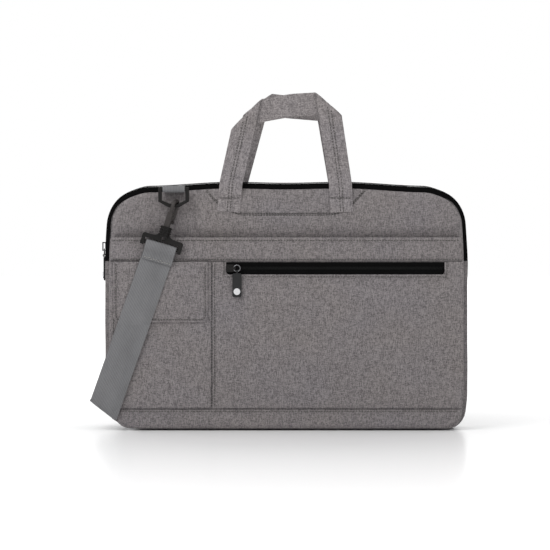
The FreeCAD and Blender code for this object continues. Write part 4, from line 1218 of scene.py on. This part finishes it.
def bar_loop(name, joint, tail, leg, node, facing):
    """Webbing over a clip's strap bar, with its sewn end on the outside."""
    wall = webbing_settings().wall
    bar, axis = joint_place(joint)
    axis = axis * -facing
    up = -np.cross(axis, [0, 1, 0])
    up = up / np.linalg.norm(up) * np.sign(up[2])
    radius = BAR_RADIUS + wall / 2
    angle = np.linspace(0, math.pi, 15)
    outside = straight((-radius, -tail), (-radius, 0), 0.0025)[:-1]
    arch = np.stack([-radius * np.cos(angle), radius * np.sin(angle)], -1)
    inside = straight((radius, 0), (radius, -leg), 0.0025)[1:]
    profile = np.concatenate([outside, arch, inside])
    press = ease(-profile[:, 1], 0.004, tail * 0.7) * (profile[:, 0] < 0)
    depth = profile[:, 0] + press * (2 * radius - wall * 1.15)
    centre = bar + np.outer(-facing * depth, [0, 1, 0]) + np.outer(profile[:, 1], up)
    left = centre - axis * STRAP_HALF
    right = centre + axis * STRAP_HALF
    item = ribbon(name, left, right, wall)
    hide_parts(node)
    return item, left, right, up


def tail_stitches(left, right):
    """Zigzag that sews the strap's end down below the clip."""
    count = 15
    share = np.linspace(0.06, 0.94, count)[:, None]
    down = (left[1] - left[0]) / np.linalg.norm(left[1] - left[0])
    step = np.where(np.arange(count) % 2, 0.0028, 0.0012)[:, None]
    zigzag = left[0] + (right[0] - left[0]) * share + down * step
    return stitches("strap_tail_stitches", [zigzag], (0, -1, 0), None, "webbing", "pale_thread")


def strap():
    """Shoulder strap: down the front, round the corner and up the back, with the loops at its clips."""
    wall = webbing_settings().wall
    front_y = float(low("strap_front_upper")[1]) + wall / 2
    back_y = float(high("strap_back")[1]) - wall / 2
    sewn_end, left, right, _ = bar_loop("strap_sewn_end", "front_clip_tilt", tail=0.019, leg=0.004,
                                        node="strap_loop_front", facing=-1)
    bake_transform(sewn_end)
    outside = np.array([0, wall / 2, 0])
    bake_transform(tail_stitches(left - outside, right - outside))
    top_left, top_right = left[-1], right[-1]
    fold_left, fold_right = crease(front_y, -BEND_RADIUS)

    def cut(a, b, z):
        return a + (b - a) * (a[2] - z) / (a[2] - b[2])

    split_left, split_right = cut(top_left, fold_left, SPLIT_Z), cut(top_right, fold_right, SPLIT_Z)
    share = np.linspace(0, 1, 24)[:, None]
    upper = ribbon("strap_upper_run", top_left + (split_left - top_left) * share,
                   top_right + (split_right - top_right) * share, wall)
    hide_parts("strap_front_upper")
    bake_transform(upper)
    lower = ribbon("strap_lower_run", split_left + (fold_left - split_left) * share,
                   split_right + (fold_right - split_right) * share, wall)
    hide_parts("strap_front_lower")
    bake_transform(lower)
    bend_left, bend_right = bend_edges(front_y, back_y)
    rear_loop, loop_left, loop_right, rear_up = bar_loop("strap_rear_loop", "rear_clip_tilt", tail=0.004,
                                                         leg=0.004, node="strap_loop_rear", facing=1)
    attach(rear_loop, "mouth")
    ends = sorted([loop_left[-1], loop_right[-1]], key=lambda point: point[0] - point[2])
    share = np.linspace(0, 1, 60)[1:, None]
    back_left = bend_left[-1] + (ends[0] - bend_left[-1]) * share
    back_right = bend_right[-1] + (ends[1] - bend_right[-1]) * share
    all_left = np.concatenate([bend_left, back_left])
    all_right = np.concatenate([bend_right, back_right])
    item = ribbon("shoulder_strap", all_left, all_right, wall)
    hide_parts("strap_crossing", "strap_back")
    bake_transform(item)
    return_layer(rear_up, ends, back_y, wall)


def return_layer(up, ends, back_y, wall):
    """Doubled end of the strap, from the rear clip back to and past the adjuster."""
    node_low, node_high = low("strap_return"), high("strap_return")
    y = float(node_low[1] + node_high[1]) / 2
    start = (ends[0] + ends[1]) / 2
    long = float(np.hypot(node_high[0] - node_low[0], node_high[2] - node_low[2]))
    way = -up
    side = (ends[1] - ends[0]) / np.linalg.norm(ends[1] - ends[0])
    travel = np.linspace(0, long - 0.006, 60)
    drop = ease(travel, 0.02, long - 0.07)
    line = start + np.outer(travel, way)
    line[:, 1] = y - (y - back_y - wall * 1.2) * drop
    item = ribbon("strap_doubled_end", line - side * STRAP_HALF, line + side * STRAP_HALF, wall)
    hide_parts("strap_return")
    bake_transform(item)


# ---- webbing loops that hold the rings ----

# radius of the webbing round a ring's bar, and its thickness
RING_BEND = 0.0031
RING_WEB_WALL = 0.0016


def ring_loop(name, node, body, side):
    """Folded webbing: out of the panel's top seam, round the ring's bar and back to the panel."""
    lo, hi = low(node), high(node)
    bar, _ = joint_place("front_ring_swing" if side < 0 else "rear_ring_swing")
    face = abs(FACE)
    radius = RING_BEND
    reach = abs(bar[1])
    angle = np.linspace(math.pi / 2, -math.pi / 2, 15)
    arch = np.stack([reach + radius * np.cos(angle), bar[2] + radius * np.sin(angle)], -1)
    top = straight((face - 0.002, float(hi[2]) + 0.0002), (reach - 0.002, bar[2] + radius), 0.0015)
    bottom = straight((reach - 0.002, bar[2] - radius), (face + 0.0006, bar[2] - radius), 0.0015)
    profile = np.concatenate([top, arch, bottom])
    x0, x1 = float(lo[0]), float(hi[0])
    left = np.stack([np.full(len(profile), x0), side * profile[:, 0], profile[:, 1]], -1)
    right = left + np.array([x1 - x0, 0, 0])
    item = ribbon(name, left, right, RING_WEB_WALL)
    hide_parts(node)
    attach(item, body)


# ---------------------------------------------------------------- hard parts and insides

def paint_nodes():
    """Give every node that stays in view the material of its own slot."""
    slots = {part["node"]: part["material_slot"] for part in frame["record"]["subparts"]}
    for name, item in frame["nodes"].items():
        item.data.materials.clear()
        paint = slots[name]
        if name.startswith(("snap_hook", "hook_gate")):
            paint = "bronzed_metal"
        if name.endswith("_pull_ring"):
            paint = "dark_chrome"
        item.data.materials.append(paints()[paint])


def divider():
    """Padded wall in front of the laptop."""
    front, back = float(low("laptop_divider")[1]), float(high("laptop_divider")[1])
    radii = [BASE_RADIUS, BASE_RADIUS, STRAP_CORNER_RADIUS, BASE_RADIUS]
    outline = Outline(*extent("laptop_divider"), radii)
    item = pillow("divider_pad", outline, front, back, "lining_cloth", 0.006, roll=0.003, drop=0.0015,
                  shape=lambda x, z, depth: wrinkles(x, z, SEED + 70) * 0.4, warp=None)
    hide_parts("laptop_divider")
    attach(item, "bag")


def barrel_knurls(name, joint, body):
    """Rows of small raised ribs round the swivel's barrel."""
    around, rows, barrel = 14, 4, 0.0059
    centre, axis = joint_place(joint)
    axis = axis / np.linalg.norm(axis)
    helper = np.cross(axis, [0, 1.0, 0])
    helper /= np.linalg.norm(helper)
    other = np.cross(axis, helper)
    turn, place = np.meshgrid(np.linspace(0, 2 * math.pi, around, endpoint=False),
                              np.linspace(-0.0016, 0.0068, rows))
    turn, place = turn.ravel()[:, None], place.ravel()[:, None]
    out = np.cos(turn) * helper + np.sin(turn) * other
    along = np.cross(axis, out)
    centres = centre + axis * place + out * barrel
    beads(name, centres, along, out, (0.0010, 0.0009, 0.0011), "black_metal", "black_metal", body, 8)


# ---------------------------------------------------------------- stage

def stage():
    """White room, soft lights and a floor that fades from a grey reflection to white."""
    scene = bpy.context.scene
    world = bpy.data.worlds.new("white room") if scene.world is None else scene.world
    scene.world = world
    world.use_nodes = True
    background = world.node_tree.nodes["Background"]
    background.inputs[0].default_value = (1, 1, 1, 1)
    background.inputs[1].default_value = 1.0
    floor_mesh = bpy.data.meshes.new("floor")
    floor_mesh.from_pydata([(-6, -4, 0), (6, -4, 0), (6, 6, 0), (-6, 6, 0)], [], [(0, 1, 2, 3)])
    floor = bpy.data.objects.new("floor", floor_mesh)
    scene.collection.objects.link(floor)
    paint = Paint("floor paint", Roughness=0.25, Specular_IOR_Level=0.5, Emission_Strength=1.0)
    x, y, _ = paint.axes(paint.object_place())
    away = ((x * x + y * y) ** 0.5 - 0.22) * (1 / 0.75)
    far = away.clamp()
    paint.drive("Base Color", paint.mix(far, (0.91, 0.91, 0.915, 1), (0.3, 0.3, 0.3, 1)))
    paint.drive("Emission Color", paint.mix(far, (0.0, 0.0, 0.0, 1), (0.8, 0.8, 0.8, 1)))
    floor_mesh.materials.append(paint.material)
    add_light("key", (-1.0, -1.2, 1.6), (0, 0, 0.2), size=1.0, power=17)
    add_light("fill", (2.2, -2.6, 1.0), (0, 0, 0.15), size=2.2, power=5)
    scene.view_settings.view_transform = "Standard"
    add_camera()


def add_light(name, place, target, size, power):
    """Square lamp of a size in metres and a power in watts, looking at the target."""
    data = bpy.data.lights.new(name, "AREA")
    data.size = size
    data.energy = power
    lamp = bpy.data.objects.new(name, data)
    bpy.context.scene.collection.objects.link(lamp)
    aim(lamp, place, target)


def aim(item, place, target):
    """Put an object at a place, looking at the target."""
    item.location = place
    way = Vector(target) - Vector(place)
    item.rotation_euler = way.to_track_quat("-Z", "Y").to_euler()


def add_camera():
    """Long lens, square to the front, a little above the middle of the bag."""
    centre = np.array([-0.0129, POCKET_FACE, 0.1747])
    seen = 0.616
    distance = 3.2
    rise = math.radians(1.6)
    data = bpy.data.cameras.new("camera")
    data.sensor_width = 36
    data.lens = 36 * distance / seen
    camera = bpy.data.objects.new("camera", data)
    bpy.context.scene.collection.objects.link(camera)
    place = centre + distance * np.array([0, -math.cos(rise), math.sin(rise)])
    aim(camera, place, centre)
    bpy.context.scene.camera = camera


# ---------------------------------------------------------------- operators

class Builds:
    """What every operator here shares."""

    bl_options = {"REGISTER", "UNDO"}


class BRIEFCASE_OT_stage(Builds, bpy.types.Operator):
    """Floor, soft lights and camera"""

    bl_idname = "briefcase.stage"
    bl_label = "Stage"

    def execute(self, context):
        stage()
        return {"FINISHED"}


class BRIEFCASE_OT_strap(Builds, bpy.types.Operator):
    """Shoulder strap and its loops"""

    bl_idname = "briefcase.strap"
    bl_label = "Shoulder strap"

    def execute(self, context):
        strap()
        ring_loop("front_ring_loop", "web_loop_front", "bag", -1)
        ring_loop("rear_ring_loop", "web_loop_rear", "mouth", 1)
        return {"FINISHED"}


class BRIEFCASE_OT_panels(Builds, bpy.types.Operator):
    """Padded front and rear panels"""

    bl_idname = "briefcase.panels"
    bl_label = "Panels"

    def execute(self, context):
        front_panel()
        rear_panel()
        divider()
        return {"FINISHED"}


class BRIEFCASE_OT_gussets(Builds, bpy.types.Operator):
    """Cloth and zip walls between the panels"""

    bl_idname = "briefcase.gussets"
    bl_label = "Gussets and main zip"

    def execute(self, context):
        gussets()
        main_zip_teeth()
        return {"FINISHED"}


class BRIEFCASE_OT_pockets(Builds, bpy.types.Operator):
    """Front pockets with their zip, flap and stitching"""

    bl_idname = "briefcase.pockets"
    bl_label = "Pockets"

    def execute(self, context):
        pockets()
        pocket_sides()
        pocket_zip()
        flap_piece()
        seam_stitches()
        return {"FINISHED"}


class BRIEFCASE_OT_handles(Builds, bpy.types.Operator):
    """Two folded handles"""

    bl_idname = "briefcase.handles"
    bl_label = "Handles"

    def execute(self, context):
        handles()
        return {"FINISHED"}


class BRIEFCASE_OT_hardware(Builds, bpy.types.Operator):
    """Rings, clips, sliders and pulls"""

    bl_idname = "briefcase.hardware"
    bl_label = "Hardware"

    def execute(self, context):
        paint_nodes()
        barrel_knurls("front_barrel_knurls", "front_hook_turn", "front_clip")
        barrel_knurls("rear_barrel_knurls", "rear_hook_turn", "rear_clip")
        return {"FINISHED"}


class BRIEFCASE_PT_panel(bpy.types.Panel):
    bl_label = "Laptop Briefcase"
    bl_idname = "BRIEFCASE_PT_panel"
    bl_space_type = "VIEW_3D"
    bl_region_type = "UI"
    bl_category = "Briefcase"

    def draw(self, context):
        column = self.layout.column()
        for operator in OPERATORS:
            column.operator(operator.bl_idname)


OPERATORS = (BRIEFCASE_OT_stage, BRIEFCASE_OT_strap, BRIEFCASE_OT_panels, BRIEFCASE_OT_gussets,
             BRIEFCASE_OT_pockets, BRIEFCASE_OT_handles, BRIEFCASE_OT_hardware)
SETTINGS = {"briefcase_cloth": BriefcaseCloth, "briefcase_webbing": BriefcaseWebbing,
            "briefcase_zip": BriefcaseZip}
CLASSES = (*SETTINGS.values(), *OPERATORS, BRIEFCASE_PT_panel)


def register():
    for item in CLASSES:
        bpy.utils.register_class(item)
    for name, group in SETTINGS.items():
        setattr(bpy.types.Scene, name, bpy.props.PointerProperty(type=group))


def unregister():
    for name in SETTINGS:
        delattr(bpy.types.Scene, name)
    for item in reversed(CLASSES):
        bpy.utils.unregister_class(item)


def main():
    register()
    bpy.ops.briefcase.stage()
    bpy.ops.briefcase.strap()
    bpy.ops.briefcase.panels()
    bpy.ops.briefcase.gussets()
    bpy.ops.briefcase.pockets()
    bpy.ops.briefcase.handles()
    bpy.ops.briefcase.hardware()


if __name__ == "__main__":
    main()
